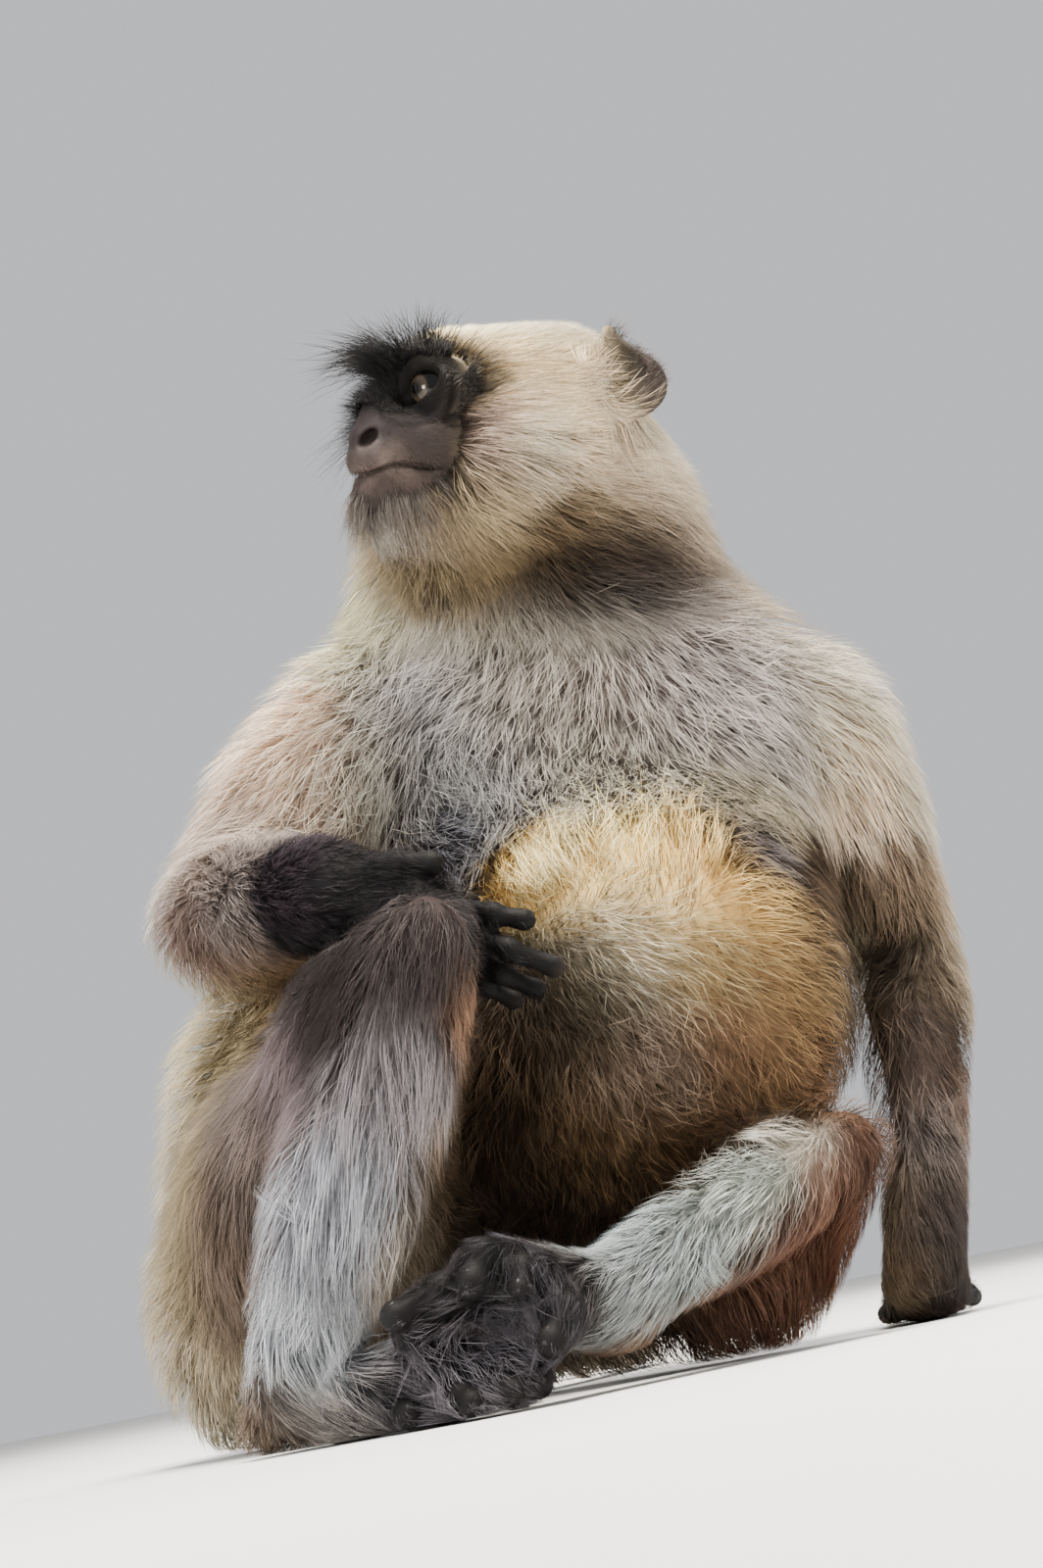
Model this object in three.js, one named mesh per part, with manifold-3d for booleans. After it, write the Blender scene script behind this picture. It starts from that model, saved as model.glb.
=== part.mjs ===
// A grey langur, life size, sitting on the floor with its weight on one straight arm.
//
// Millimetres, +Z up. The origin is the middle of the seat on the floor. The animal faces -Y and its
// own left is +X. It leans on its left arm, its right hand lies behind its raised right knee, its feet
// are crossed and its tail curls on the floor behind it. Every size is taken to the tips of the coat.
//
// Each part of the body is a distance field: tapered bones and turned balls, blended together. A skin
// of rings is fitted round the part's axis by stepping rays out to where that field is zero. The parts
// are then cut by their neighbours, grown by a hairline, so they meet without overlapping.
import * as THREE from "three";
import { mergeVertices } from "three/addons/utils/BufferGeometryUtils.js";
import Module from "manifold-3d";

const wasm = await Module();
wasm.setup();

// ---- driving dimensions -----------------------------------------------------------------------
const HAIRLINE = 0.4; // gap between two parts that meet
const CUT_TOLERANCE = 0.4; // slivers flatter than this are dropped after a cut
const BLEND = 14; // how far two forms of one part melt into each other
const FLOOR_DEPTH = 200; // the block under the floor that trims every part flat
const FINGER = 6; // radius of a finger
const TOE = 7.2; // radius of a toe
const EYEBALL = 10.5;
const TAIL_ROOT = 21;
const TAIL_TIP = 11;
const TAIL_LENGTHS = 4;

const at = (x, y, z) => new THREE.Vector3(x, y, z);

// Joints of the skeleton.
const HIP_R = at(-84, -28, 62);
const KNEE_R = at(23, -214, 191);
const ANKLE_R = at(-68, -200, 24);
const HIP_L = at(58, -28, 62);
const KNEE_L = at(177, -101, 80);
const ANKLE_L = at(60, -203, 36);
const SHOULDER_R = at(8, -32, 316);
const ELBOW_R = at(-76, -48, 232);
const WRIST_R = at(-14, -160, 226);
const SHOULDER_L = at(212, -20, 278);
const ELBOW_L = at(233, 8, 172);
const WRIST_L = at(208, -36, 27);

// The head's own frame: origin between the ear holes, forward, up and its own left.
const HEAD = at(98, -76, 425);
const FORWARD = at(-0.881, -0.468, 0.069).normalize();
const LEFT = at(0.446, -0.869, -0.214).normalize();
const UP = new THREE.Vector3().crossVectors(FORWARD, LEFT).normalize();
LEFT.crossVectors(UP, FORWARD);

// A point of the head from its distances forward, up and left of the head's origin.
const onHead = (forward, up, left) =>
  HEAD.clone().addScaledVector(FORWARD, forward).addScaledVector(UP, up).addScaledVector(LEFT, left);

// ---- forms ------------------------------------------------------------------------------------
// Each returns a function that gives the distance from a point to the form, negative inside it.

// A tapered bone with round ends.
function bone(a, b, ra, rb) {
  const axis = b.clone().sub(a);
  const length2 = axis.lengthSq();
  return (p) => {
    const t = THREE.MathUtils.clamp(p.clone().sub(a).dot(axis) / length2, 0, 1);
    return p.distanceTo(a.clone().addScaledVector(axis, t)) - THREE.MathUtils.lerp(ra, rb, t);
  };
}

// A ball with a radius of its own along each of three axes, by default the model's.
function ball(centre, rx, ry, rz, axes = [at(1, 0, 0), at(0, 1, 0), at(0, 0, 1)]) {
  const radii = [rx, ry, rz];
  return (p) => {
    const d = p.clone().sub(centre);
    const c = axes.map((axis) => d.dot(axis));
    const near = Math.hypot(...c.map((v, i) => v / radii[i]));
    const slope = Math.hypot(...c.map((v, i) => v / radii[i] ** 2));
    return slope > 1e-6 ? (near * (near - 1)) / slope : -Math.min(...radii);
  };
}

// A ball of the head, turned with it.
const headBall = (forward, up, left, rf, ru, rl) =>
  ball(onHead(forward, up, left), rf, ru, rl, [FORWARD, UP, LEFT]);

// Forms melted together over a width.
const melt = (forms, width = BLEND) => (p) =>
  forms
    .map((form) => form(p))
    .reduce((a, b) => {
      const h = Math.max(width - Math.abs(a - b), 0) / width;
      return Math.min(a, b) - (h * h * width) / 4;
    });

// A chain of bones through points that each have a radius: [[point, radius], ...].
const chain = (knots) => knots.slice(1).map(([b, rb], i) => bone(knots[i][0], b, knots[i][1], rb));

// ---- solids -----------------------------------------------------------------------------------

// A closed geometry as a solid that can be cut and joined.
function toSolid(geometry) {
  const bare = new THREE.BufferGeometry().setAttribute("position", geometry.getAttribute("position"));
  bare.setIndex(geometry.index);
  const merged = mergeVertices(bare, 1e-4);
  return new wasm.Manifold(
    new wasm.Mesh({
      numProp: 3,
      vertProperties: new Float32Array(merged.attributes.position.array),
      triVerts: new Uint32Array(merged.index.array),
    }),
  );
}

// Steps from a point inside the form along a direction to the form's surface.
function surfaceFrom(start, direction, form, grow) {
  let reach = 0;
  for (let step = 0; step < 60; step++) {
    const inside = -(form(start.clone().addScaledVector(direction, reach)) - grow);
    reach += inside * 0.85;
    if (Math.abs(inside) < 0.01) break;
  }
  return start.clone().addScaledVector(direction, Math.max(reach, 0.5));
}

// A skin round an axis, fitted to a form: rings along the axis, and fans over its two ends.
function wrap(axis, form, { rings = 6, sides = 12, fans = 3, grow = 0 } = {}) {
  const path = new THREE.CatmullRomCurve3(axis, false, "centripetal");
  const stations = [];
  for (let i = 1; i <= fans; i++) stations.push({ t: 0, tip: 1 - i / fans });
  for (let i = 1; i < rings; i++) stations.push({ t: i / rings, tip: 0 });
  for (let i = fans; i >= 1; i--) stations.push({ t: 1, tip: -(1 - i / fans) });

  const points = [];
  let across = null;
  for (const { t, tip } of stations) {
    const centre = path.getPointAt(t);
    const along = path.getTangentAt(t);
    if (!across) across = Math.abs(along.z) < 0.8 ? at(0, 0, 1) : at(0, -1, 0);
    across = across.addScaledVector(along, -across.dot(along)).normalize();
    const other = new THREE.Vector3().crossVectors(along, across);
    const lean = (tip * Math.PI) / 2;
    for (let i = 0; i < sides; i++) {
      const angle = (2 * Math.PI * i) / sides;
      const direction = across
        .clone()
        .multiplyScalar(Math.cos(angle) * Math.cos(lean))
        .addScaledVector(other, Math.sin(angle) * Math.cos(lean))
        .addScaledVector(along, -Math.sin(lean));
      points.push(surfaceFrom(centre, direction, form, grow));
    }
    across = across.clone();
  }
  const start = surfaceFrom(path.getPointAt(0), path.getTangentAt(0).negate(), form, grow);
  const end = surfaceFrom(path.getPointAt(1), path.getTangentAt(1), form, grow);
  points.push(start, end);

  const faces = [];
  const last = stations.length - 1;
  for (let i = 0; i < sides; i++) {
    const j = (i + 1) % sides;
    faces.push(points.length - 2, j, i);
    faces.push(points.length - 1, last * sides + i, last * sides + j);
    for (let k = 0; k < last; k++) {
      const [a, b, c, d] = [k * sides + i, k * sides + j, (k + 1) * sides + i, (k + 1) * sides + j];
      faces.push(a, b, d, a, d, c);
    }
  }
  return toSolid(new THREE.BufferGeometry().setFromPoints(points).setIndex(faces));
}

// A limb: a skin round a chain of [point, radius] knots.
const limb = (knots, options) =>
  wrap(
    knots.map(([point]) => point),
    melt(chain(knots)),
    options,
  );

const join = (solids) => solids.reduce((a, b) => a.add(b));

const floorBlock = toSolid(
  new THREE.BoxGeometry(3000, 3000, FLOOR_DEPTH).translate(0, 0, -FLOOR_DEPTH / 2),
);

// ---- the parts of the body --------------------------------------------------------------------
// Each is a function of how much it is grown, so that it can also cut its neighbours.

// The fan of stiff hair that stands out over the eyes.
function visor(grow) {
  const lean = FORWARD.clone().addScaledVector(UP, 0.42).normalize();
  const thick = new THREE.Vector3().crossVectors(LEFT, lean);
  const centre = onHead(60, 31, 0);
  const leaf = ball(centre, 27, 12, 40, [lean, thick, LEFT]);
  const reach = LEFT.clone().multiplyScalar(16);
  return wrap([centre.clone().sub(reach), centre.clone().add(reach)], leaf, {
    rings: 2,
    sides: 9,
    fans: 2,
    grow,
  });
}

const headBone = (a, b, ra, rb) => bone(onHead(...a), onHead(...b), ra, rb);

function skull(grow) {
  const forms = [
    headBall(-4, 6, 0, 56, 41, 43), // braincase
    headBall(-26, 13, 0, 34, 34, 40), // fur over the back of the crown
    headBall(30, 18, 0, 32, 26, 37), // forehead
    headBone([51, 27, -20], [51, 27, 20], 10, 10), // brow ridge
    headBall(40, -4, 0, 22, 30, 30), // cheekbones
    headBone([58, 18, 0], [72, -3, 0], 7, 8), // nose
    headBall(50, -19, 0, 28, 17, 21), // upper lip
    headBall(46, -35, 0, 26, 16, 19), // lower lip and chin
    ...[-1, 1].map((side) => headBall(8, -18, 30 * side, 44, 36, 28)), // cheek ruffs
    headBall(20, -46, 0, 36, 30, 34), // fur under the jaw
    headBone([46, -50, 0], [36, -78, 0], 20, 15), // beard
  ];
  const flesh = melt(forms, 12);
  const sockets = [-1, 1].map((side) => headBall(61, 17, 18.5 * side, 12, 8.5, 11));
  const face = (p) => Math.max(flesh(p), ...sockets.map((socket) => -socket(p)));
  return wrap([onHead(-16, -6, 0), onHead(10, -10, 0), onHead(34, -14, 0)], face, {
    rings: 6,
    sides: 22,
    fans: 6,
    grow,
  });
}

const head = (grow) => join([skull(grow), visor(grow)]);

// A dished leaf that stands out and back from the side of the head.
function ear(side, grow) {
  const spread = THREE.MathUtils.degToRad(52);
  const back = FORWARD.clone()
    .multiplyScalar(-Math.cos(spread))
    .addScaledVector(LEFT, side * Math.sin(spread));
  const upright = UP.clone().addScaledVector(FORWARD, -0.1).normalize();
  upright.addScaledVector(back, -upright.dot(back)).normalize();
  const normal = new THREE.Vector3().crossVectors(back, upright);
  const centre = onHead(-30, 20, 48 * side);
  const leaf = ball(centre, 24, 24, 7, [back, upright, normal]);
  const point = bone(centre, centre.clone().addScaledVector(upright, 20), 6, 4);
  const solid = wrap(
    [centre.clone().addScaledVector(back, -8), centre.clone().addScaledVector(back, 8)],
    melt([leaf, point], 8),
    { rings: 2, sides: 12, fans: 2, grow },
  );
  const front = normal.dot(FORWARD) > 0 ? 1 : -1;
  const hollow = new THREE.SphereGeometry(17, 8, 5)
    .scale(1, 1, 0.6)
    .applyMatrix4(new THREE.Matrix4().makeBasis(back, upright, normal));
  const mouth = centre.clone().addScaledVector(back, 3).addScaledVector(normal, front * 9);
  hollow.translate(mouth.x, mouth.y, mouth.z);
  return grow ? solid : solid.subtract(toSolid(hollow));
}

function eye(side, grow) {
  const centre = onHead(46, 16.5, 17.5 * side);
  return toSolid(new THREE.IcosahedronGeometry(EYEBALL + grow, 1).translate(centre.x, centre.y, centre.z));
}

// The whole trunk and neck, from the seat to the back of the skull.
const torsoForm = melt(
  [
    bone(at(114, -20, 318), at(118, -42, 380), 72, 62), // neck
    bone(at(50, -42, 364), at(66, -50, 394), 46, 46), // ruff on the far side of the throat
    ball(at(104, -18, 283), 98, 66, 70), // chest
    bone(at(28, -24, 304), at(182, -16, 292), 50, 50), // across the shoulders
    bone(at(92, 12, 268), at(32, 20, 130), 62, 72), // back
    bone(at(70, -28, 232), at(150, -24, 228), 62, 60), // lower ribs
    ball(at(106, -64, 158), 94, 92, 100), // belly
    bone(at(30, 0, 236), at(-46, 6, 150), 58, 79), // right flank
    ball(at(140, 2, 165), 68, 56, 84), // left flank
    ball(at(-64, 2, 92), 76, 66, 70), // hip
    ball(at(0, 2, 64), 92, 82, 66), // seat
    ball(at(70, 10, 84), 72, 66, 70), // the other buttock
  ],
  22,
);
const SPINE = [at(-10, 2, 58), at(26, -14, 120), at(70, -28, 190), at(102, -26, 270), at(114, -26, 330),
  at(116, -44, 384)];

const torso = wrap(SPINE, torsoForm, { rings: 12, sides: 22, fans: 4 });
const torsoGrown = wrap(SPINE, torsoForm, { rings: 12, sides: 22, fans: 4, grow: HAIRLINE });

// Planes that part the trunk: a point on each and the direction that is up along the spine.
const WAIST = [at(40, -20, 118), at(0.42, -0.1, 0.9).normalize()];
const RIBS = [at(86, -30, 226), at(0.3, 0.2, 0.93).normalize()];
const COLLAR = [at(112, -30, 336), at(0.02, -0.42, 0.9).normalize()];

// What lies above one plane and below another, less half a hairline at each.
function between(solid, lower, upper) {
  const trim = (part, [point, normal], sign) =>
    part.trimByPlane(normal.clone().multiplyScalar(sign).toArray(), sign * normal.dot(point) + HAIRLINE / 2);
  const risen = lower ? trim(solid, lower, 1) : solid;
  return upper ? trim(risen, upper, -1) : risen;
}

const upperArmRight = (grow) =>
  limb(
    [
      [SHOULDER_R, 45],
      [at(-28, -40, 284), 42],
      [ELBOW_R, 34],
    ],
    { rings: 4, sides: 11, fans: 2, grow },
  );

const forearmRight = (grow) =>
  limb(
    [
      [ELBOW_R, 34],
      [at(-58, -86, 234), 34],
      [WRIST_R, 23],
    ],
    { rings: 4, sides: 11, fans: 2, grow },
  );

const upperArmLeft = (grow) =>
  limb(
    [
      [SHOULDER_L, 40],
      [at(222, -10, 230), 31],
      [ELBOW_L, 26],
    ],
    { rings: 4, sides: 11, fans: 2, grow },
  );

const forearmLeft = (grow) =>
  limb(
    [
      [ELBOW_L, 25],
      [at(228, -6, 130), 25],
      [WRIST_L, 19],
    ],
    { rings: 4, sides: 11, fans: 2, grow },
  );

// A digit: a slim limb through its joints.
const digit = (joints, radius, grow) =>
  limb(
    joints.map((point) => [point, radius]),
    { rings: 3, sides: 6, fans: 2, grow },
  );

const handRight = (grow) =>
  join([
    limb(
      [
        [at(-14, -160, 226), 17],
        [at(22, -176, 208), 15],
        [at(36, -180, 200), 13],
      ],
      { rings: 3, sides: 8, fans: 2, grow },
    ),
    digit([at(-2, -172, 228), at(16, -180, 228), at(30, -184, 225)], FINGER, grow), // thumb
    digit([at(34, -180, 206), at(50, -188, 197), at(62, -189, 191)], FINGER, grow),
    digit([at(36, -181, 198), at(54, -190, 182), at(70, -187, 172)], FINGER, grow),
    digit([at(34, -179, 190), at(50, -186, 172), at(61, -183, 162)], FINGER, grow),
    digit([at(30, -176, 184), at(40, -180, 168), at(46, -178, 158)], FINGER * 0.9, grow),
  ]);

const handLeft = (grow) =>
  join([
    limb(
      [
        [at(206, -34, 24), 18],
        [at(208, -14, 14), 18],
        [at(210, 8, 10), 16],
      ],
      { rings: 3, sides: 8, fans: 2, grow },
    ),
    digit([at(200, -14, 8), at(192, 0, 6), at(190, 12, 5)], FINGER * 0.9, grow), // thumb
    digit([at(200, 12, 9), at(197, 32, 9), at(196, 50, 5)], FINGER, grow),
    digit([at(208, 14, 9), at(208, 38, 9), at(208, 58, 5)], FINGER, grow),
    digit([at(216, 12, 9), at(219, 34, 9), at(221, 52, 5)], FINGER, grow),
    digit([at(222, 6, 8), at(229, 24, 8), at(232, 38, 5)], FINGER * 0.9, grow),
  ]);

const thighRight = (grow) => {
  const knots = [
    [KNEE_R, 24],
    [at(-10, -166, 158), 42],
    [at(-46, -106, 112), 60],
    [HIP_R, 60],
  ];
  const form = melt([...chain(knots), ball(at(-86, -26, 40), 54, 52, 50)]);
  return wrap(knots.map(([point]) => point), form, { rings: 5, sides: 13, fans: 3, grow });
};

const shankRight = (grow) =>
  limb(
    [
      [KNEE_R, 24],
      [at(-8, -210, 138), 33],
      [at(-32, -204, 90), 33],
      [at(-56, -200, 48), 24],
      [ANKLE_R, 18],
    ],
    { rings: 5, sides: 11, fans: 2, grow },
  );

const thighLeft = (grow) =>
  limb(
    [
      [HIP_L, 60],
      [at(124, -72, 48), 50],
      [KNEE_L, 25],
    ],
    { rings: 5, sides: 13, fans: 3, grow },
  );

const shankLeft = (grow) =>
  limb(
    [
      [KNEE_L, 23],
      [at(136, -136, 66), 26],
      [at(96, -168, 49), 23],
      [ANKLE_L, 18],
    ],
    { rings: 5, sides: 11, fans: 2, grow },
  );

const footRight = (grow) =>
  join([
    limb(
      [
        [at(-80, -188, 12), 14],
        [at(-44, -206, 17), 18],
        [at(0, -222, 18), 20],
      ],
      { rings: 3, sides: 9, fans: 2, grow },
    ),
    digit([at(6, -214, 24), at(22, -224, 22), at(34, -238, 14)], TOE, grow),
    digit([at(8, -222, 18), at(24, -234, 17), at(34, -247, 9)], TOE, grow),
    digit([at(4, -228, 13), at(18, -242, 12), at(24, -252, 7)], TOE, grow),
    digit([at(-4, -232, 10), at(4, -246, 10), at(8, -254, 6)], TOE * 0.9, grow),
    digit([at(-14, -212, 12), at(-20, -228, 9), at(-18, -240, 6)], TOE, grow), // great toe
  ]);

const footLeft = (grow) =>
  join([
    limb(
      [
        [at(70, -192, 28), 17],
        [at(52, -212, 39), 18],
        [at(34, -226, 49), 17],
      ],
      { rings: 3, sides: 9, fans: 2, grow },
    ),
    digit([at(32, -230, 60), at(20, -246, 62), at(16, -254, 52)], TOE * 1.1, grow),
    digit([at(26, -228, 48), at(4, -240, 52), at(-16, -246, 45)], TOE, grow),
    digit([at(24, -222, 42), at(2, -230, 46), at(-14, -236, 36)], TOE * 0.95, grow),
    digit([at(42, -228, 54), at(36, -244, 54), at(34, -252, 46)], TOE * 0.95, grow),
    digit([at(54, -222, 42), at(50, -240, 35), at(42, -252, 24)], TOE * 1.1, grow), // great toe
  ]);

// ---- the tail ---------------------------------------------------------------------------------
// It leaves the rump low down, runs back along the floor and curls round behind the animal.
const tailRoute = new THREE.CatmullRomCurve3(
  [at(10, 44, 40), at(30, 96, 22), at(66, 170, 17), at(70, 262, 15), at(6, 326, 14), at(-84, 312, 13),
   at(-124, 236, 12), at(-104, 158, 11)],
  false,
  "centripetal",
);

function tailLength(index, grow) {
  const share = (k) => (index + k) / TAIL_LENGTHS;
  const trim = 0.002 * (TAIL_LENGTHS - 1);
  const knots = [0, 0.25, 0.5, 0.75, 1].map((k) => {
    const s = THREE.MathUtils.clamp(share(k) - trim * (k - 0.5), 0, 1);
    return [tailRoute.getPointAt(s), THREE.MathUtils.lerp(TAIL_ROOT, TAIL_TIP, s)];
  });
  return limb(knots, { rings: 5, sides: 8, fans: 2, grow });
}

// ---- colours ----------------------------------------------------------------------------------
const finish = (color, roughness = 0.85) => ({ color, roughness, metalness: 0 });

const CREAM = finish(0xd8cdb4);
const GREY = finish(0xa59c8c);
const DUSK = finish(0x8c7c70);
const GOLD = finish(0xb8965c);
const SILVER = finish(0xb9b2a6);
const BLACK = finish(0x2a2526, 0.6);
const AMBER = finish(0x3c2a1a, 0.15);

// ---- assembly ---------------------------------------------------------------------------------
// Each entry is a name, the part, the part grown to cut those below it in the list, and its colour.
const plan = (name, form, look) => [name, form(0), form(HAIRLINE), look];
const bodyPlan = [
  plan("eye_left", (grow) => eye(1, grow), AMBER),
  plan("eye_right", (grow) => eye(-1, grow), AMBER),
  plan("head", head, CREAM),
  plan("ear_left", (grow) => ear(1, grow), BLACK),
  plan("ear_right", (grow) => ear(-1, grow), BLACK),
  plan("hand_right", handRight, BLACK),
  plan("hand_left", handLeft, BLACK),
  plan("foot_left", footLeft, BLACK),
  plan("foot_right", footRight, BLACK),
  ["neck", between(torso, COLLAR, null), null, CREAM],
  ["chest", between(torso, RIBS, COLLAR), null, GREY],
  ["belly", between(torso, WAIST, RIBS), null, GOLD],
  ["rump", between(torso, null, WAIST), torsoGrown, GREY],
  plan("upper_arm_right", upperArmRight, CREAM),
  plan("upper_arm_left", upperArmLeft, CREAM),
  plan("forearm_right", forearmRight, DUSK),
  plan("forearm_left", forearmLeft, DUSK),
  plan("thigh_right", thighRight, DUSK),
  plan("shank_right", shankRight, SILVER),
  plan("thigh_left", thighLeft, DUSK),
  plan("shank_left", shankLeft, SILVER),
  ...Array.from({ length: TAIL_LENGTHS }, (_, i) => plan(`tail_${i + 1}`, (grow) => tailLength(i, grow), DUSK)),
];

// The largest piece of a solid that a cut has split.
const largest = (solid) =>
  solid.decompose().reduce((a, b) => (b.volume() > a.volume() ? b : a));

function toMesh(name, solid, look) {
  const { numProp, vertProperties, triVerts } = solid.getMesh();
  const geometry = new THREE.BufferGeometry();
  const positions = new Float32Array((vertProperties.length / numProp) * 3);
  for (let i = 0; i < positions.length / 3; i++)
    positions.set(vertProperties.subarray(i * numProp, i * numProp + 3), i * 3);
  geometry.setAttribute("position", new THREE.BufferAttribute(positions, 3));
  geometry.setIndex(new THREE.BufferAttribute(triVerts, 1));
  geometry.computeVertexNormals();
  const mesh = new THREE.Mesh(geometry, new THREE.MeshStandardMaterial(look));
  mesh.name = name;
  return mesh;
}

const langur = new THREE.Group();
langur.name = "grey_langur";
const above = [];
for (const [name, part, grown, look] of bodyPlan) {
  const cut = above.reduce((solid, neighbour) => solid.subtract(neighbour), part.subtract(floorBlock));
  langur.add(toMesh(name, largest(cut.simplify(CUT_TOLERANCE)), look));
  if (grown) above.push(grown);
}

export default langur;
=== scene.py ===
"""A grey langur, life size, sitting on the floor with its weight on one straight arm.

Metres, +Z up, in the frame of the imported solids: the origin is the middle of the seat on the floor, and
the animal's chest faces -Y. The script goes through the animal as it is put together: the skin of the
body, head, hands and feet, the eyes and nails, then the coat from the back to the whiskers, and last the
floor, the light and the camera.
"""

import math
import bpy
import numpy as np
import openvdb as vdb
from mathutils import Matrix, Vector
from mathutils.kdtree import KDTree


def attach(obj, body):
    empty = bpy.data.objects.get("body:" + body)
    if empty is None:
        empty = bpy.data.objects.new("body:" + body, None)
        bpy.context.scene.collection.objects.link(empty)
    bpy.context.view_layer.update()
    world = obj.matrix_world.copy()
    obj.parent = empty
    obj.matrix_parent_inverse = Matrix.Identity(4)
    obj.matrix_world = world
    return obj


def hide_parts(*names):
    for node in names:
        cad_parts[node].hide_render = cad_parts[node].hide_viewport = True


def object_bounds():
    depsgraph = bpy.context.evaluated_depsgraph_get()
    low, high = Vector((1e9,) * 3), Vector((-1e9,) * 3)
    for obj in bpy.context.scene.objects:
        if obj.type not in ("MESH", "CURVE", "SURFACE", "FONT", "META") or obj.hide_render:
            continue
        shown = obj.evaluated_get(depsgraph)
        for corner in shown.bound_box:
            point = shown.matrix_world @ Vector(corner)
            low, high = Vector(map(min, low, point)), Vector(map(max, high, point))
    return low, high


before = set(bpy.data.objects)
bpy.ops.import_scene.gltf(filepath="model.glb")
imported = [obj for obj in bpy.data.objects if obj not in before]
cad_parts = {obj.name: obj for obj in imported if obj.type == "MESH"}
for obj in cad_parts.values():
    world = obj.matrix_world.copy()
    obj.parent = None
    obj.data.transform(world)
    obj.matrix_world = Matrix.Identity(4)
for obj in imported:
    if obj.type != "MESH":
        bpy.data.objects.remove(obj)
cad_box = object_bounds()
MM = 0.001

# ---- the body's skin ---------------------------------------------------------------------------
# One hide over the trunk, neck, limbs and tail. It is cast from the solids, which reach the tips of the
# coat: they are melted into one form, which is then taken in by the depth of the coat at each place.

FLESH = [
    "head", "ear_right", "ear_left", "neck", "chest", "belly", "rump",
    "upper_arm_right", "upper_arm_left", "forearm_right", "forearm_left", "hand_right", "hand_left",
    "thigh_right", "thigh_left", "shank_right", "shank_left", "foot_right", "foot_left",
    "tail_1", "tail_2", "tail_3", "tail_4",
]
HIDE_STEP = 3.2 * MM
DEEPEST_COAT = 36 * MM


def solid_faces(node):
    """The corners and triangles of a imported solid."""
    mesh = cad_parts[node].data
    mesh.calc_loop_triangles()
    corners = np.empty(len(mesh.vertices) * 3, np.float32)
    mesh.vertices.foreach_get("co", corners)
    triangles = np.empty(len(mesh.loop_triangles) * 3, np.int32)
    mesh.loop_triangles.foreach_get("vertices", triangles)
    return corners.reshape(-1, 3), triangles.reshape(-1, 3)


class Clay:
    """A block of space on a grid, holding the distance to the surface of what is modelled in it."""

    def __init__(self, low, high, step):
        self.step = step
        self.first = np.floor(np.array(low) / step).astype(int)
        self.count = np.ceil(np.array(high) / step).astype(int) - self.first + 1
        self.d = np.full(self.count, 0.05, np.float32)

    def points(self):
        axes = [(np.arange(self.count[i]) + self.first[i]) * self.step for i in range(3)]
        return np.stack(np.meshgrid(*axes, indexing="ij"), -1).astype(np.float32)

    def read(self, points):
        """The distance at any points, taken between the grid's."""
        q = np.clip(points / self.step - self.first, 0, np.array(self.count) - 1.001)
        i = q.astype(int)
        f = (q - i).astype(np.float32)
        out = np.zeros(len(points), np.float32)
        for c in range(8):
            o = np.array([c & 1, c >> 1 & 1, c >> 2 & 1])
            w = np.prod(np.where(o, f, 1 - f), -1)
            j = i + o
            out += w * self.d[j[:, 0], j[:, 1], j[:, 2]]
        return out

    def solid(self, corners, triangles, reach):
        """The distance to a closed mesh, as far as reach."""
        grid = vdb.FloatGrid.createLevelSetFromPolygons(
            corners,
            triangles=triangles,
            transform=vdb.createLinearTransform(voxelSize=self.step),
            halfWidth=reach / self.step,
        )
        out = np.empty(self.count, np.float32)
        grid.copyToArray(out, ijk=tuple(int(i) for i in self.first))
        return out

    def surface(self, level=0.0, flatness=0.0):
        """The surface at a distance, as corners and triangles that face outward."""
        grid = vdb.FloatGrid(0.05)
        grid.copyFromArray(self.d - level)
        corners, triangles, quads = grid.convertToPolygons(isovalue=0.0, adaptivity=flatness)
        faces = np.concatenate([triangles, quads[:, [0, 1, 2]], quads[:, [0, 2, 3]]]).astype(np.int32)
        corners = (corners + self.first) * self.step
        a, b, c = (corners[faces[:, i]] for i in range(3))
        if np.einsum("ij,ij->i", a, np.cross(b, c)).sum() < 0:
            faces = faces[:, ::-1]
        return corners.astype(np.float32), faces


def soften(d, passes):
    """A distance field blurred with its neighbours along each axis."""
    for _ in range(passes):
        for axis in range(3):
            near = np.pad(d, [(1, 1) if i == axis else (0, 0) for i in range(3)], mode="edge")
            cut = lambda s: near[tuple(s if i == axis else slice(None) for i in range(3))]
            d = 0.25 * cut(slice(0, -2)) + 0.5 * cut(slice(1, -1)) + 0.25 * cut(slice(2, None))
    return d


def at(x, y, z):
    return np.array([x, y, z], np.float32) * MM


# The head's frame: origin between the ear holes, forward, up and its own left.
HEAD = at(98, -76, 425)
FORWARD = np.array([-0.881, -0.468, 0.069]) / np.linalg.norm([-0.881, -0.468, 0.069])
LEFT = np.array([0.446, -0.869, -0.214])
UP = np.cross(FORWARD, LEFT) / np.linalg.norm(np.cross(FORWARD, LEFT))
LEFT = np.cross(UP, FORWARD)
HEAD_AXES = np.array([FORWARD, UP, LEFT])


def on_head(forward, up, left):
    return HEAD + np.array([forward, up, left]) * MM @ HEAD_AXES


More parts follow.
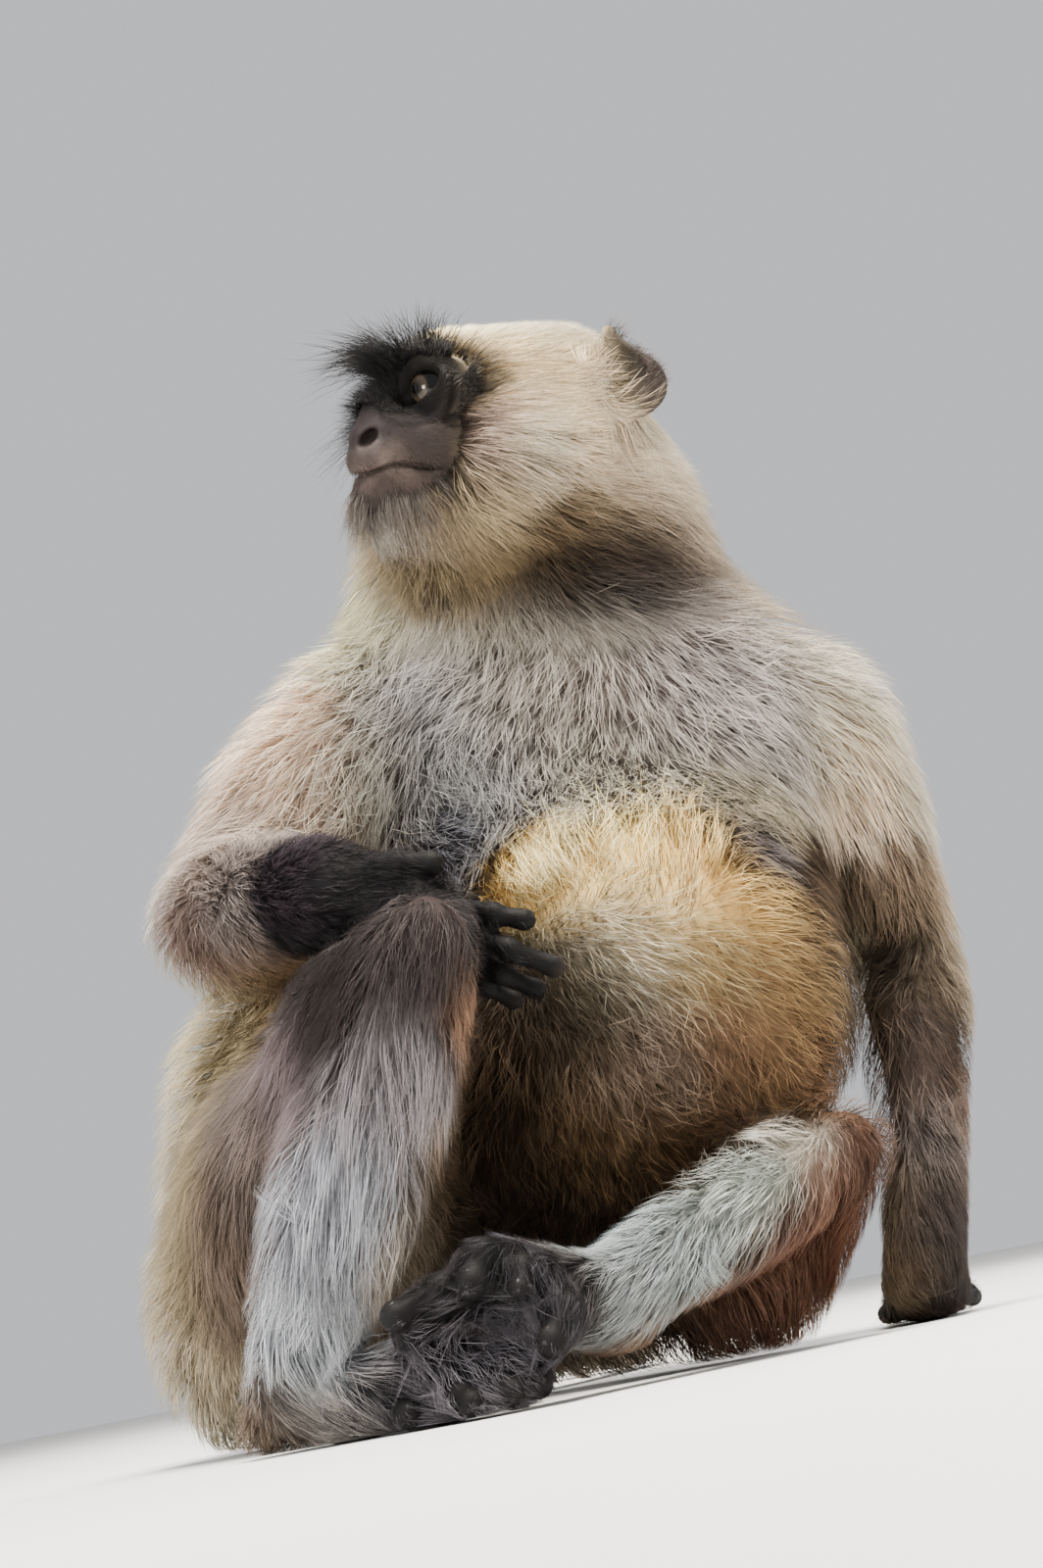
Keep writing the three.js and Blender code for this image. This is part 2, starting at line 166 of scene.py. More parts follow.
# How deep the coat is round each place: the place, how far it holds sway, and the depth (millimetres).
COAT_DEPTH = [
    (on_head(0, 10, 0), 60, 26), (at(112, -30, 345), 50, 24), (at(60, -50, 370), 30, 22),
    (at(104, -80, 285), 60, 17), (at(104, 40, 280), 70, 24), (at(106, -150, 160), 70, 13),
    (at(50, 60, 150), 70, 22), (at(-110, 0, 150), 50, 24), (at(-60, 40, 60), 60, 20),
    (at(0, 10, 0), 50, 8), (at(8, -32, 316), 40, 19), (at(-28, -40, 284), 40, 15),
    (at(-76, -48, 232), 30, 12), (at(-58, -86, 234), 30, 13), (at(-14, -160, 226), 24, 7),
    (at(40, -182, 195), 30, 7), (at(212, -20, 278), 40, 16), (at(222, -10, 230), 30, 10),
    (at(233, 8, 172), 30, 8), (at(228, -6, 130), 30, 7), (at(208, -36, 30), 24, 6),
    (at(208, 0, 8), 26, 7), (at(-84, -28, 62), 60, 18), (at(-46, -106, 112), 40, 19),
    (at(23, -218, 194), 24, 1.5), (at(-8, -210, 138), 30, 13), (at(-32, -204, 90), 30, 15),
    (at(-60, -200, 40), 24, 9), (at(-40, -210, 12), 40, 7), (at(20, -240, 12), 30, 7),
    (at(58, -28, 62), 50, 17), (at(124, -72, 48), 40, 16), (at(177, -101, 80), 24, 3.5),
    (at(136, -136, 66), 26, 9), (at(96, -168, 49), 26, 8), (at(60, -203, 36), 22, 7),
    (at(30, -232, 50), 24, 7), (at(30, 96, 22), 40, 8), (at(70, 262, 15), 80, 6),
    (at(-84, 312, 13), 100, 5),
    # where the animal rests on the floor the coat is pressed thin
    (at(60, -175, -6), 22, 4), (at(110, -135, -6), 26, 4), (at(165, -75, -6), 26, 4),
    (at(-70, -190, -6), 18, 4), (at(-85, -130, -6), 26, 4), (at(-110, -40, -6), 30, 5),
]


def sway(points, places, falloff=1.0):
    """How much of a say each place has at each point: rows add up to one."""
    centres = np.array([p[0] for p in places], np.float32)
    reach = np.array([p[1] for p in places], np.float32) * MM * falloff
    square = (
        (points**2).sum(-1)[:, None] - 2 * points @ centres.T + (centres**2).sum(-1)[None]
    ) / reach**2
    weight = np.exp(-0.5 * (square - square.min(1, keepdims=True)))
    return weight / weight.sum(1, keepdims=True)


body = Clay(np.array(cad_box[0]) - 8 * MM, np.array(cad_box[1]) + 8 * MM, HIDE_STEP)
for node in FLESH:
    body.d = np.minimum(body.d, body.solid(*solid_faces(node), 3 * HIDE_STEP))
body.d = body.solid(*body.surface(0.9 * MM), DEEPEST_COAT)
body.d = soften(body.d, 2)
outline = Clay(cad_box[0], cad_box[1], HIDE_STEP)
outline.first, outline.count, outline.d = body.first, body.count, body.d.copy()
band = np.argwhere((body.d < 3 * MM) & (body.d > -DEEPEST_COAT * 0.98))
depths = np.array([p[2] for p in COAT_DEPTH], np.float32) * MM
for part in np.array_split(band, 40):
    points = ((part + body.first) * HIDE_STEP).astype(np.float32)
    body.d[tuple(part.T)] += sway(points, COAT_DEPTH) @ depths
body.d = soften(body.d, 1)
hide_pieces = [body.surface(flatness=0.08)]

# ---- the head's skin ---------------------------------------------------------------------------
# Bare, finely wrinkled skin over the face and ears and furred skin over the rest of the skull. It is
# modelled in the head's own frame (forward, up, left), both sides at once, from bones and muscles.


def ball(p, centre, radii):
    """The distance to an upright ball with a radius of its own along each axis."""
    q = (p - np.array(centre, np.float32) * MM) / (np.array(radii, np.float32) * MM)
    near = np.sqrt((q**2).sum(-1))
    slope = np.sqrt(((q / (np.array(radii, np.float32) * MM)) ** 2).sum(-1)) + 1e-6
    return near * (near - 1) / slope


def bone(p, a, b, ra, rb):
    """The distance to a tapered bone with round ends."""
    a, b = np.array(a, np.float32) * MM, np.array(b, np.float32) * MM
    t = np.clip(((p - a) @ (b - a)) / ((b - a) ** 2).sum(), 0, 1)
    return np.sqrt(((p - a - t[..., None] * (b - a)) ** 2).sum(-1)) - (ra + (rb - ra) * t) * MM


def melted(d, form, width):
    h = np.maximum(width * MM - np.abs(d - form), 0) / (width * MM)
    return np.minimum(d, form) - h * h * width * MM / 4


def carved(d, form, width):
    return -melted(-d, form, width)


EYE = np.array([45.5, 16.3, 17.5])  # centre of the left eyeball in the head's frame, millimetres
EYE_RADIUS = 10.6
GAZE = np.array([0.975, -0.03, 0.17]) / np.linalg.norm([0.975, -0.03, 0.17])
LID_TILT = math.radians(25)  # the outer corner of the eye is higher than the inner one
LID_OUT = np.cross([0, 1, 0], GAZE) * -1
LID_OUT = LID_OUT / np.linalg.norm(LID_OUT)
LID_UP = np.cross(GAZE, LID_OUT)
LID_UP = LID_UP / np.linalg.norm(LID_UP)
if LID_UP[1] < 0:
    LID_UP = -LID_UP
if LID_OUT[2] < 0:
    LID_OUT = -LID_OUT
LID_LONG = math.cos(LID_TILT) * LID_OUT + math.sin(LID_TILT) * LID_UP
LID_HIGH = math.cos(LID_TILT) * LID_UP - math.sin(LID_TILT) * LID_OUT

skull = Clay((-0.064, -0.078, -0.066), (0.090, 0.056, 0.066), 0.95 * MM)
places = skull.points()
p = places.copy()
p[..., 2] = np.abs(p[..., 2])
flesh = ball(p, (-6, 5, 0), (47, 34, 34))
for form, width in [
    (ball(p, (26, 16, 0), (31, 20, 30)), 14),  # forehead
    (bone(p, (-14, -14, 0), (-36, -66, 0), 34, 34), 14),  # nape
    (bone(p, (55, 28, 0), (49, 28, 20), 5.5, 5.5), 8),  # brow ridge
    (bone(p, (47, 27, 24), (36, 10, 31), 5, 6), 7),  # outer rim of the eye socket
    (ball(p, (32, 0, 16), (18, 22, 16)), 9),  # cheekbone
    (bone(p, (57, 22, 0), (66, 8, 0), 5, 6), 7),  # bridge of the nose
    (bone(p, (66, 8, 0), (73, -4, 0), 6, 6.5), 5),  # nose
    (ball(p, (72, -6, 6.5), (5.5, 5.5, 4.5)), 4),  # side of the nostril
    (bone(p, (62, 2, 7), (46, -6, 20), 7, 10), 8),  # from nose to cheek
    (ball(p, (53.5, -14, 0), (27, 11, 17)), 6),  # upper jaw
    (bone(p, (68, -14.5, 6), (42, -17, 18), 8, 7), 6),  # upper lip
    (bone(p, (0, -10, 27), (38, -14, 21), 14, 9), 12),  # cheek
]:
    flesh = melted(flesh, form, width)
jaw = ball(p, (53, -30, 0), (26, 9.5, 17))
for form, width in [
    (bone(p, (70, -25.5, 5), (43, -25, 20), 6, 5.5), 4),  # lower lip
    (ball(p, (63, -35, 0), (13, 8, 13)), 6),  # chin
    (bone(p, (48, -34, 12), (0, -30, 27), 9, 12), 10),  # jaw bone
]:
    jaw = melted(jaw, form, width)
flesh = melted(flesh, jaw, 2.5)

# The lids lie on the eyeball, open in an almond that leans up towards its outer corner.
from_eye = p - EYE.astype(np.float32) * MM
in_eye = np.stack([from_eye @ v.astype(np.float32) for v in (GAZE, LID_LONG, LID_HIGH)], -1)
flesh = melted(flesh, np.sqrt((from_eye**2).sum(-1)) - (EYE_RADIUS + 2.3) * MM, 4)
across = np.sqrt((in_eye[..., 1:] ** 2).sum(-1)) / MM
for radius, side, deep in ((15.2, 1, 0.7), (16.8, -1, 1.3)):  # folds round the lids
    groove = deep * np.exp(-(((across - radius) / 1.1) ** 2)) * (in_eye[..., 0] > 0)
    flesh = flesh + groove * np.clip(in_eye[..., 2] * side / MM / 4 + 0.6, 0, 1) * MM
roll = np.sqrt((across * MM - 13.4 * MM) ** 2 + (in_eye[..., 0] - 4.2 * MM) ** 2) - 2.6 * MM
roll = roll + np.clip((in_eye[..., 2] / MM + 1) / 7, 0, 1) * 3.5 * MM
flesh = melted(flesh, roll, 2.5)
opening = ball(in_eye, (11.4, 1.2, 0.9), (8.2, 15.4, 6.3))
flesh = carved(flesh, opening, 1.2)

# Nostrils, mouth and ears.
slant = p - np.array([75.0, -5.6, 7.6], np.float32) * MM
slot = np.stack([slant @ v for v in np.array(
    [[0.76, -0.62, -0.2], [0.62, 0.78, 0.0], [-0.2, 0.1, 0.97]], np.float32)], -1)
flesh = carved(flesh, ball(slot, (0, 0, 0), (7.2, 2.9, 4.6)), 1.2)


def mouth_line(forward):
    """The height of the mouth, which arches down to the front and to its corners (millimetres)."""
    return -17.0 - 5.5 * np.clip(forward - 66, 0, 14) / 14 - 4.0 * np.clip(62 - forward, 0, 22) / 22


arch = p.copy()
arch[..., 1] -= mouth_line(p[..., 0] / MM) * MM
seam = np.maximum(ball(arch, (56, 0, 0), (25, 1.15, 25)), -flesh - 2.6 * MM)
flesh = carved(flesh, seam, 1.2)

EAR = np.array([-31, 20, 47])  # middle of the left ear in the head's frame, millimetres
EAR_OUT = np.array([-0.62, 0.0, 0.785])
EAR_UP = np.array([-0.12, 0.993, 0.0])
EAR_UP = EAR_UP - EAR_OUT * (EAR_UP @ EAR_OUT)
EAR_UP = EAR_UP / np.linalg.norm(EAR_UP)
EAR_FRONT = np.cross(EAR_OUT, EAR_UP)
if EAR_FRONT[0] < 0:
    EAR_FRONT = -EAR_FRONT
from_ear = p - EAR.astype(np.float32) * MM
in_ear = np.stack([from_ear @ v.astype(np.float32) for v in (EAR_OUT, EAR_UP, EAR_FRONT)], -1)
in_ear[..., 2] += 0.012 * (in_ear[..., 0] / (20 * MM)) ** 2 * (in_ear[..., 0] > 0) * 0.35
leaf = ball(in_ear, (2, -5, 0), (19, 15.5, 4.4))
leaf = melted(leaf, bone(in_ear, (2, 0, 0), (-6, 20, 0), 9, 3.4), 10)
leaf = np.maximum(leaf, np.abs(in_ear[..., 2]) - 4.2 * MM)
leaf = carved(leaf, ball(in_ear, (0, -2, 4.6), (14.5, 14, 5.0)), 1.5)
leaf = carved(leaf, ball(in_ear, (-3, 8, 4.4), (6, 11, 4.0)), 2)
leaf = melted(leaf, bone(in_ear, (-6, -10, 2), (-14, 4, 2), 2.6, 2.2), 2)  # tragus
leaf = melted(leaf, bone(in_ear, (4, -9, 1), (9, 6, 1), 1.6, 1.3), 2)  # inner rim
flesh = melted(flesh, leaf, 5)
flesh = soften(flesh, 1)


def on_hide(fine, points):
    """A finely modelled part melted into the hide, which sinks out of sight further from the part."""
    hide = body.read(points.reshape(-1, 3)).reshape(fine.shape)
    hide = hide + (0.3 + 3 * np.clip((fine / MM - 5) / 12, 0, 1)) * MM
    return melted(fine, hide, 6)


skull.d = on_hide(flesh, HEAD.astype(np.float32) + places @ HEAD_AXES.astype(np.float32))
corners, faces = skull.surface(flatness=0.1)
hide_pieces.append(((HEAD + corners @ HEAD_AXES).astype(np.float32), faces[:, ::-1]))

# ---- hands and feet ----------------------------------------------------------------------------
# Dark, nearly bare skin over knuckles and pads, with four long fingers or toes and a thumb or great
# toe each. A digit is a row of bones with a knuckle at each joint; wrist and ankle run into the hide.

# Each is the wrist or sole, then its digits: joints with a place, and the digit's thickness.
LIMB_ENDS = {
    "hand_right": (
        [(-46, -118, 232, 17), (-14, -160, 226, 15), (20, -176, 208, 12.5), (32, -179, 201, 9)], [
            ([(-2, -172, 228), (16, -180, 228), (30, -184, 225)], 5.4),
            ([(34, -180, 206), (50, -188, 199), (63, -189, 194)], 4.7),
            ([(36, -181, 196), (54, -190, 183), (71, -187, 173)], 4.9),
            ([(34, -176, 189), (49, -180, 175), (62, -178, 166)], 4.5),
            ([(30, -170, 184), (41, -172, 172), (52, -169, 164)], 4.1)]),
    "hand_left": (
        [(215, -26, 62, 14), (206, -32, 26, 15), (208, -14, 14, 13.5), (210, 8, 11, 11)], [
            ([(200, -14, 8), (192, 0, 7), (190, 12, 6)], 4.8),
            ([(200, 12, 9), (197, 32, 10), (196, 50, 6)], 5.2),
            ([(208, 14, 9), (208, 38, 10), (209, 58, 6)], 5.2),
            ([(216, 12, 9), (219, 34, 10), (221, 52, 6)], 5.2),
            ([(222, 6, 8), (229, 24, 8), (232, 38, 6)], 4.6)]),
    "foot_right": (
        [(-70, -192, 20, 14), (-44, -206, 16, 15), (0, -222, 17, 17)], [
            ([(-14, -212, 12), (-20, -228, 9), (-18, -240, 7)], 6.4),
            ([(6, -214, 24), (22, -224, 22), (34, -238, 14)], 6.2),
            ([(8, -222, 18), (24, -234, 17), (34, -247, 9)], 6.2),
            ([(4, -228, 13), (18, -242, 12), (24, -252, 8)], 6.2),
            ([(-4, -232, 10), (4, -246, 10), (8, -254, 7)], 5.6)]),
    "foot_left": (
        [(78, -186, 34, 14), (52, -212, 39, 15.5), (34, -226, 48, 14.5)], [
            ([(54, -222, 42), (50, -240, 35), (42, -252, 24)], 7.0),
            ([(32, -230, 60), (20, -246, 62), (16, -254, 52)], 6.8),
            ([(26, -228, 48), (4, -240, 52), (-16, -246, 45)], 6.6),
            ([(24, -222, 42), (2, -230, 46), (-14, -236, 36)], 5.9),
            ([(42, -228, 54), (36, -244, 54), (34, -252, 46)], 5.2)]),
}
nail_seats = []  # the last joint and the tip of each digit, and its thickness
for name, (palm, digits) in LIMB_ENDS.items():
    joints = np.array([j[:3] for j in palm] + [j for d, _ in digits for j in d])
    end = Clay((joints.min(0) - 26) * MM, (joints.max(0) + 22) * MM, 1.1 * MM)
    p = end.points()
    flesh = np.full(p.shape[:3], 0.05, np.float32)
    for a, b in zip(palm, palm[1:]):
        flesh = melted(flesh, bone(p, a[:3], b[:3], a[3], b[3]), 8)
    for chain, thick in digits:
        digit = bone(p, chain[0], chain[1], thick * 1.06, thick * 0.93)
        digit = melted(digit, bone(p, chain[1], chain[2], thick * 0.93, thick * 0.84), 1.5)
        for joint in chain[:2]:
            digit = melted(digit, ball(p, joint, (thick * 1.12,) * 3), 2)
        tip = np.array(chain[2]) * 0.97 + np.array(chain[1]) * 0.03
        digit = melted(digit, ball(p, tip, (thick * 0.98,) * 3), 2)  # finger pad
        flesh = melted(flesh, digit, 3.2)
        nail_seats.append((name, chain[1], chain[2], thick))
    end.d = on_hide(soften(flesh, 1), p)
    hide_pieces.append(end.surface(flatness=0.1))

# ---- the markings ------------------------------------------------------------------------------
# One table says what grows where, for the skin and the coat alike: each place with how far it holds
# sway, which way the hair lies, its length, curl and thickness, how dense it is, and its two colours.
# A few of its rows paint shade into the coat: under the jaw, between the right forearm and knee, and at
# the right knee.


def colour(code):
    """A six-figure colour as the shader's own linear values."""
    c = np.array([int(code[i:i + 2], 16) for i in (0, 2, 4)]) / 255
    return np.where(c <= 0.04045, c / 12.92, ((c + 0.055) / 1.055) ** 2.4)


def lie(forward, up, left):
    """A direction given in the head's frame."""
    return np.array([forward, up, left]) @ HEAD_AXES


# Each row: group, place, reach, lie, length, curl, thickness (all mm), density, colour at the root and at
# the tip. The head's rows hold for both its sides, and give place and lie as forward, up and left.
HEAD_COAT = [
    ("crown", (34, 40, 8), 16, (-1, 0.25, 0.1), 17, 0.5, 0.55, 1.5, "d0b184", "f7f5cd"),
    ("crown", (44, 32, 24), 11, (-1, 0.2, 0.3), 13, 0.4, 0.5, 1.5, "9f8b71", "f3e3c4"),
    ("crown", (5, 46, 14), 20, (-1, 0, 0.15), 27, 0.8, 0.6, 1.3, "bcab8b", "f0e8d2"),
    ("crown", (14, 32, 34), 18, (-1, 0.05, 0.1), 24, 0.6, 0.55, 1.3, "c9a170", "f7ecbe"),
    ("crown", (-16, 34, 36), 10, (-1, 0.05, 0.0), 13, 0.5, 0.5, 1.3, "b8a078", "f3e6c4"),
    ("crown", (-30, 40, 20), 18, (-1, -0.3, 0.1), 28, 1, 0.65, 1.1, "b89e7e", "eed7bb"),
    ("crown", (-52, 10, 20), 24, (-0.6, -0.9, 0.1), 36, 1, 0.75, 0.8, "a8987c", "e6dcc4"),
    ("cheek", (36, 18, 38), 12, (-1, 0.15, 0.2), 17, 0.5, 0.5, 1.5, "b89c74", "f3dfba"),
    ("cheek", (10, 12, 45), 18, (-1, 0.05, 0.1), 26, 0.8, 0.55, 1.3, "dcb37c", "f7efd0"),
    ("cheek", (-12, 18, 43), 12, (-1, 0.0, 0.2), 13, 0.6, 0.5, 1.3, "d9b988", "f7eed8"),
    ("cheek", (40, 0, 30), 10, (-1, -0.1, 0.5), 18, 0.6, 0.5, 1.5, "564140", "caa89d"),
    ("cheek", (20, -8, 40), 16, (-1, -0.25, 0.3), 34, 1.2, 0.6, 1.3, "a99374", "f7f5e9"),
    ("cheek", (-15, -10, 45), 20, (-1, -0.2, 0.2), 34, 1.4, 0.65, 1.2, "dfb987", "f7f1dc"),
    ("cheek", (-45, -12, 42), 20, (-1, -0.4, 0.1), 42, 1.5, 0.7, 0.8, "b09b80", "efdfcc"),
    ("beard", (34, -25, 34), 12, (-0.75, -0.7, 0.3), 30, 1.2, 0.5, 1.5, "594939", "f7deac"),
    ("beard", (8, -32, 40), 15, (-0.9, -0.6, 0.2), 27, 1.4, 0.55, 1.3, "32271b", "9b7e56"),
    ("beard", (48, -38, 22), 9, (-0.3, -1, 0.3), 28, 1.2, 0.5, 1.6, "463b37", "e0c6a0"),
    ("beard", (66, -40, 7), 9, (0.15, -1, 0.15), 24, 1.2, 0.42, 1.7, "3a302c", "f3ebdc"),
    ("beard", (56, -46, 12), 9, (-0.15, -1, 0.1), 28, 1.3, 0.48, 1.5, "382f29", "b4a58c"),
    ("beard", (34, -44, 12), 14, (-0.5, -1, 0.1), 30, 1.4, 0.55, 1.3, "393025", "a38d67"),
    ("beard", (5, -46, 20), 16, (-0.8, -0.8, 0.1), 26, 1.4, 0.6, 1.0, "1d1410", "574630"),
]
COAT = [
    (group, on_head(f, u, l * side), reach, lie(a, b, c * side), *looks)
    for side in (1, -1)
    for group, (f, u, l), reach, (a, b, c), *looks in HEAD_COAT
]
COAT += [
    # the neck: dusky under the jaw, where the head's shadow is painted into the coat, bright at the throat
    # on its right side
    ("neck", at(121, -100, 360), 20, (0.75, 0.1, -0.6), 40, 1.5, 0.55, 1.3, "0a0403", "291a11"),
    ("neck", at(137, -96, 352), 20, (0.85, 0.1, -0.5), 42, 1.5, 0.55, 1.3, "110b08", "39271e"),
    ("neck", at(165, -80, 350), 17, (0.85, 0.15, -0.5), 44, 1.2, 0.6, 1.1, "181311", "574a44"),
    ("neck", at(156, -87, 378), 18, (0.8, 0.2, -0.45), 44, 1.2, 0.7, 1.0, "5c4f42", "b0a18a"),
    ("neck", at(172, -40, 370), 24, (0.7, 0.4, -0.6), 48, 1.2, 0.8, 0.8, "7f6e59", "c8b59f"),
    ("neck", at(90, -100, 345), 18, (0.5, -0.05, -0.8), 38, 1.6, 0.55, 1.3, "1b100b", "503c2a"),
    ("neck", at(60, -98, 348), 17, (0.3, -0.1, -1), 32, 1.6, 0.55, 1.3, "17110d", "473c2c"),
    ("neck", at(20, -76, 364), 14, (-0.3, -0.2, -1), 38, 1.4, 0.6, 1.1, "f3e3a6", "f7f7da"),
    ("neck", at(10, -44, 372), 20, (-0.5, 0.1, -0.9), 42, 1.4, 0.7, 0.9, "dac992", "f7f7d9"),
    ("neck", at(60, -10, 385), 34, (-0.3, 0.5, -0.9), 48, 1.2, 0.9, 0.6, "a39472", "e2d8bd"),
    ("neck", at(120, 10, 370), 34, (0.2, 0.6, -0.8), 50, 1.2, 0.9, 0.6, "a39472", "e2d8bd"),
    # chest and the fronts of the shoulders: grey ticked with white, silver at the rims
    ("chest", at(40, -80, 330), 22, (-0.5, -0.1, -0.85), 34, 1.4, 0.55, 1.2, "89878b", "f7f1e5"),
    ("chest", at(92, -89, 312), 26, (-0.1, -0.1, -1), 32, 1.5, 0.55, 1.2, "a69687", "f7f3e6"),
    ("chest", at(154, -82, 312), 24, (0.3, -0.05, -0.95), 34, 1.4, 0.6, 1.2, "8f807d", "f7f0e8"),
    ("chest", at(186, -66, 292), 20, (0.5, -0.05, -0.9), 36, 1.1, 0.6, 1.2, "908482", "f7f2eb"),
    ("chest", at(10, -80, 300), 20, (-0.6, -0.2, -0.8), 34, 1.4, 0.55, 1.2, "807a73", "e9e4cd"),
    ("chest", at(53, -80, 290), 22, (0.25, -0.2, -0.9), 34, 1.5, 0.55, 1.2, "7f7c7d", "f7f6ea"),
    ("chest", at(110, -95, 275), 24, (0.05, -0.15, -1), 32, 1.7, 0.55, 1.2, "93887f", "f7f2d9"),
    ("chest", at(165, -95, 258), 20, (0.3, -0.1, -1), 34, 1.3, 0.6, 1.1, "645c58", "dcd0a8"),
    ("chest", at(30, -80, 268), 16, (0.9, -0.1, -0.4), 34, 1.4, 0.55, 1.2, "33343f", "7b7d92"),
    ("chest", at(164, -99, 228), 13, (0.3, -0.1, -1), 26, 1.0, 0.55, 1.1, "332e37", "77717b"),
    # back, shoulder blades and loins, in long straight hair
    ("back", at(60, 30, 330), 40, (-0.1, 0.4, -1), 55, 1, 1.0, 0.55, "8d7f69", "d9cfb8"),
    ("back", at(160, 30, 320), 40, (0.2, 0.4, -1), 55, 1, 1.0, 0.55, "8d7f69", "d9cfb8"),
    ("back", at(110, 60, 250), 50, (-0.1, 0.2, -1), 55, 1, 1.1, 0.5, "85775f", "c4b798"),
    ("back", at(60, 85, 160), 50, (-0.2, 0.1, -1), 50, 1, 1.1, 0.5, "7f715a", "b9ac8e"),
    ("back", at(150, 70, 150), 45, (0.1, 0.1, -1), 50, 1, 1.1, 0.5, "86775c", "c0b290"),
    ("back", at(-40, 70, 170), 40, (-0.3, 0.1, -1), 50, 1, 1.0, 0.5, "86775c", "c8ba98"),
    ("back", at(0, 100, 60), 50, (-0.1, 0.6, -0.8), 42, 1, 1.1, 0.5, "7b6d57", "ad9f82"),
    ("back", at(100, 90, 50), 45, (0.3, 0.4, -0.9), 42, 1, 1.1, 0.5, "7b6d57", "b1a385"),
    ("back", at(-100, 50, 60), 40, (-0.3, 0.4, -0.9), 42, 1, 1.1, 0.5, "85765d", "bcae8e"),
    # belly: golden fan above, pale middle, curly orange on its left, dark below
    ("belly", at(114, -118, 236), 16, (0.1, -0.35, 0.95), 24, 1.6, 0.6, 1.3, "f7d061", "f7f7d2"),
    ("belly", at(142, -113, 226), 15, (0.5, -0.2, 0.8), 24, 1.8, 0.6, 1.3, "c39a55", "f2de9c"),
    ("belly", at(88, -118, 226), 14, (-0.6, -0.3, 0.7), 28, 1.4, 0.6, 1.3, "d4b26b", "f7f5c6"),
    ("belly", at(62, -100, 238), 12, (0.9, -0.2, -0.1), 30, 1, 0.6, 1.3, "9d773b", "eac368"),
    ("belly", at(120, -135, 208), 16, (0.2, -0.4, 0.8), 26, 1.8, 0.6, 1.3, "b49862", "e2d3a7"),
    ("belly", at(96, -148, 190), 18, (0.8, -0.2, -0.3), 30, 1.8, 0.6, 1.3, "9c8f78", "dcdac4"),
    ("belly", at(70, -140, 170), 18, (0.7, -0.1, -0.6), 32, 1.8, 0.6, 1.2, "271e15", "463c2d"),
    ("belly", at(140, -145, 175), 16, (0.5, -0.2, -0.6), 26, 3, 0.6, 1.3, "7f6945", "ab9d76"),
    ("belly", at(168, -122, 196), 15, (0.4, -0.1, -0.7), 24, 3, 0.6, 1.3, "a8854b", "ebcb88"),
    ("belly", at(184, -96, 170), 16, (0.3, 0, -0.9), 24, 3.2, 0.6, 1.3, "6d5638", "a18860"),
    ("belly", at(166, -125, 145), 16, (0.2, -0.1, -0.8), 24, 3.4, 0.6, 1.3, "6f553a", "a78957"),
    ("belly", at(144, -141, 128), 16, (0.2, -0.1, -0.7), 20, 3.6, 0.6, 1.3, "553f2e", "846648"),
    ("belly", at(178, -100, 115), 16, (0.2, 0, -0.8), 16, 3.4, 0.6, 1.2, "5f4630", "917050"),
    ("belly", at(95, -145, 130), 18, (0.5, -0.1, -0.6), 28, 2.6, 0.6, 1.2, "59493c", "a08c7a"),
    ("belly", at(150, -112, 112), 11, (0.2, -0.1, -0.8), 22, 2.2, 0.6, 1.2, "4c3722", "866744"),
    ("belly", at(70, -125, 95), 22, (0.6, -0.1, -0.3), 20, 1.8, 0.6, 1.1, "54432f", "a8845c"),
    ("belly", at(120, -125, 90), 20, (0.5, -0.1, -0.5), 17, 2.4, 0.6, 1.1, "3a2817", "63482e"),
    ("belly", at(30, -110, 130), 26, (0.4, -0.1, -0.7), 30, 1.8, 0.7, 0.8, "372c22", "6b5640"),
    ("belly", at(60, -90, 50), 30, (0.4, -0.1, -0.6), 26, 1.6, 0.7, 0.8, "2a211a", "5b4835"),
    ("belly", at(200, -45, 200), 18, (0.1, 0, -1), 32, 1.4, 0.6, 1.0, "2c221c", "6b5744"),
    ("belly", at(195, -20, 120), 30, (0.1, 0.1, -1), 36, 1.4, 0.7, 1.0, "2c221c", "5f4d3c"),
    ("rump", at(-94, -41, 190), 24, (-0.2, -0.1, -1), 36, 1.2, 0.65, 1.0, "af9d73", "e1d2ab"),
    ("rump", at(-60, -60, 200), 22, (0.2, -0.1, -1), 34, 1.2, 0.65, 1.0, "4f3820", "6a503a"),
    ("rump", at(-125, -10, 150), 30, (-0.2, 0, -1), 40, 1.1, 0.75, 0.9, "a59575", "d8cbb4"),
    ("rump", at(-135, 0, 90), 30, (-0.1, 0.1, -1), 40, 1.1, 0.8, 0.8, "99886b", "c7b99c"),
    ("rump", at(-120, -30, 20), 26, (0.1, 0.1, -1), 34, 1.1, 0.8, 0.8, "94866c", "cbbfa4"),
    # right arm
    ("arm_right", at(-22, -77, 308), 20, (-0.7, -0.2, -0.7), 36, 1.1, 0.6, 1.2, "b39781", "f7f1de"),
    ("arm_right", at(-40, -30, 310), 24, (-0.8, 0, -0.7), 42, 0.8, 0.7, 0.9, "f3c394", "f7f3e7"),
    ("arm_right", at(-30, 10, 300), 24, (-0.7, 0.3, -0.8), 44, 0.8, 0.8, 0.7, "9f8e72", "f7e9cc"),
    ("arm_right", at(-66, -68, 286), 18, (-0.6, -0.2, -0.8), 38, 1.0, 0.6, 1.2, "94857b", "f3dfcb"),
    ("arm_right", at(-78, -90, 262), 14, (0.2, -0.5, -0.8), 32, 1.0, 0.6, 1.2, "6e5f58", "bba99b"),
    ("arm_right", at(-100, -40, 262), 18, (-0.5, 0, -0.9), 38, 0.8, 0.7, 1.0, "8f857a", "e0d8ca"),
    ("arm_right", at(-95, -80, 232), 16, (0.1, -0.4, -0.9), 32, 0.8, 0.6, 1.2, "523f3a", "8a7068"),
    ("arm_right", at(-72, -118, 240), 14, (0.6, -0.6, -0.4), 28, 0.7, 0.55, 1.3, "4f4744", "b3a59c"),
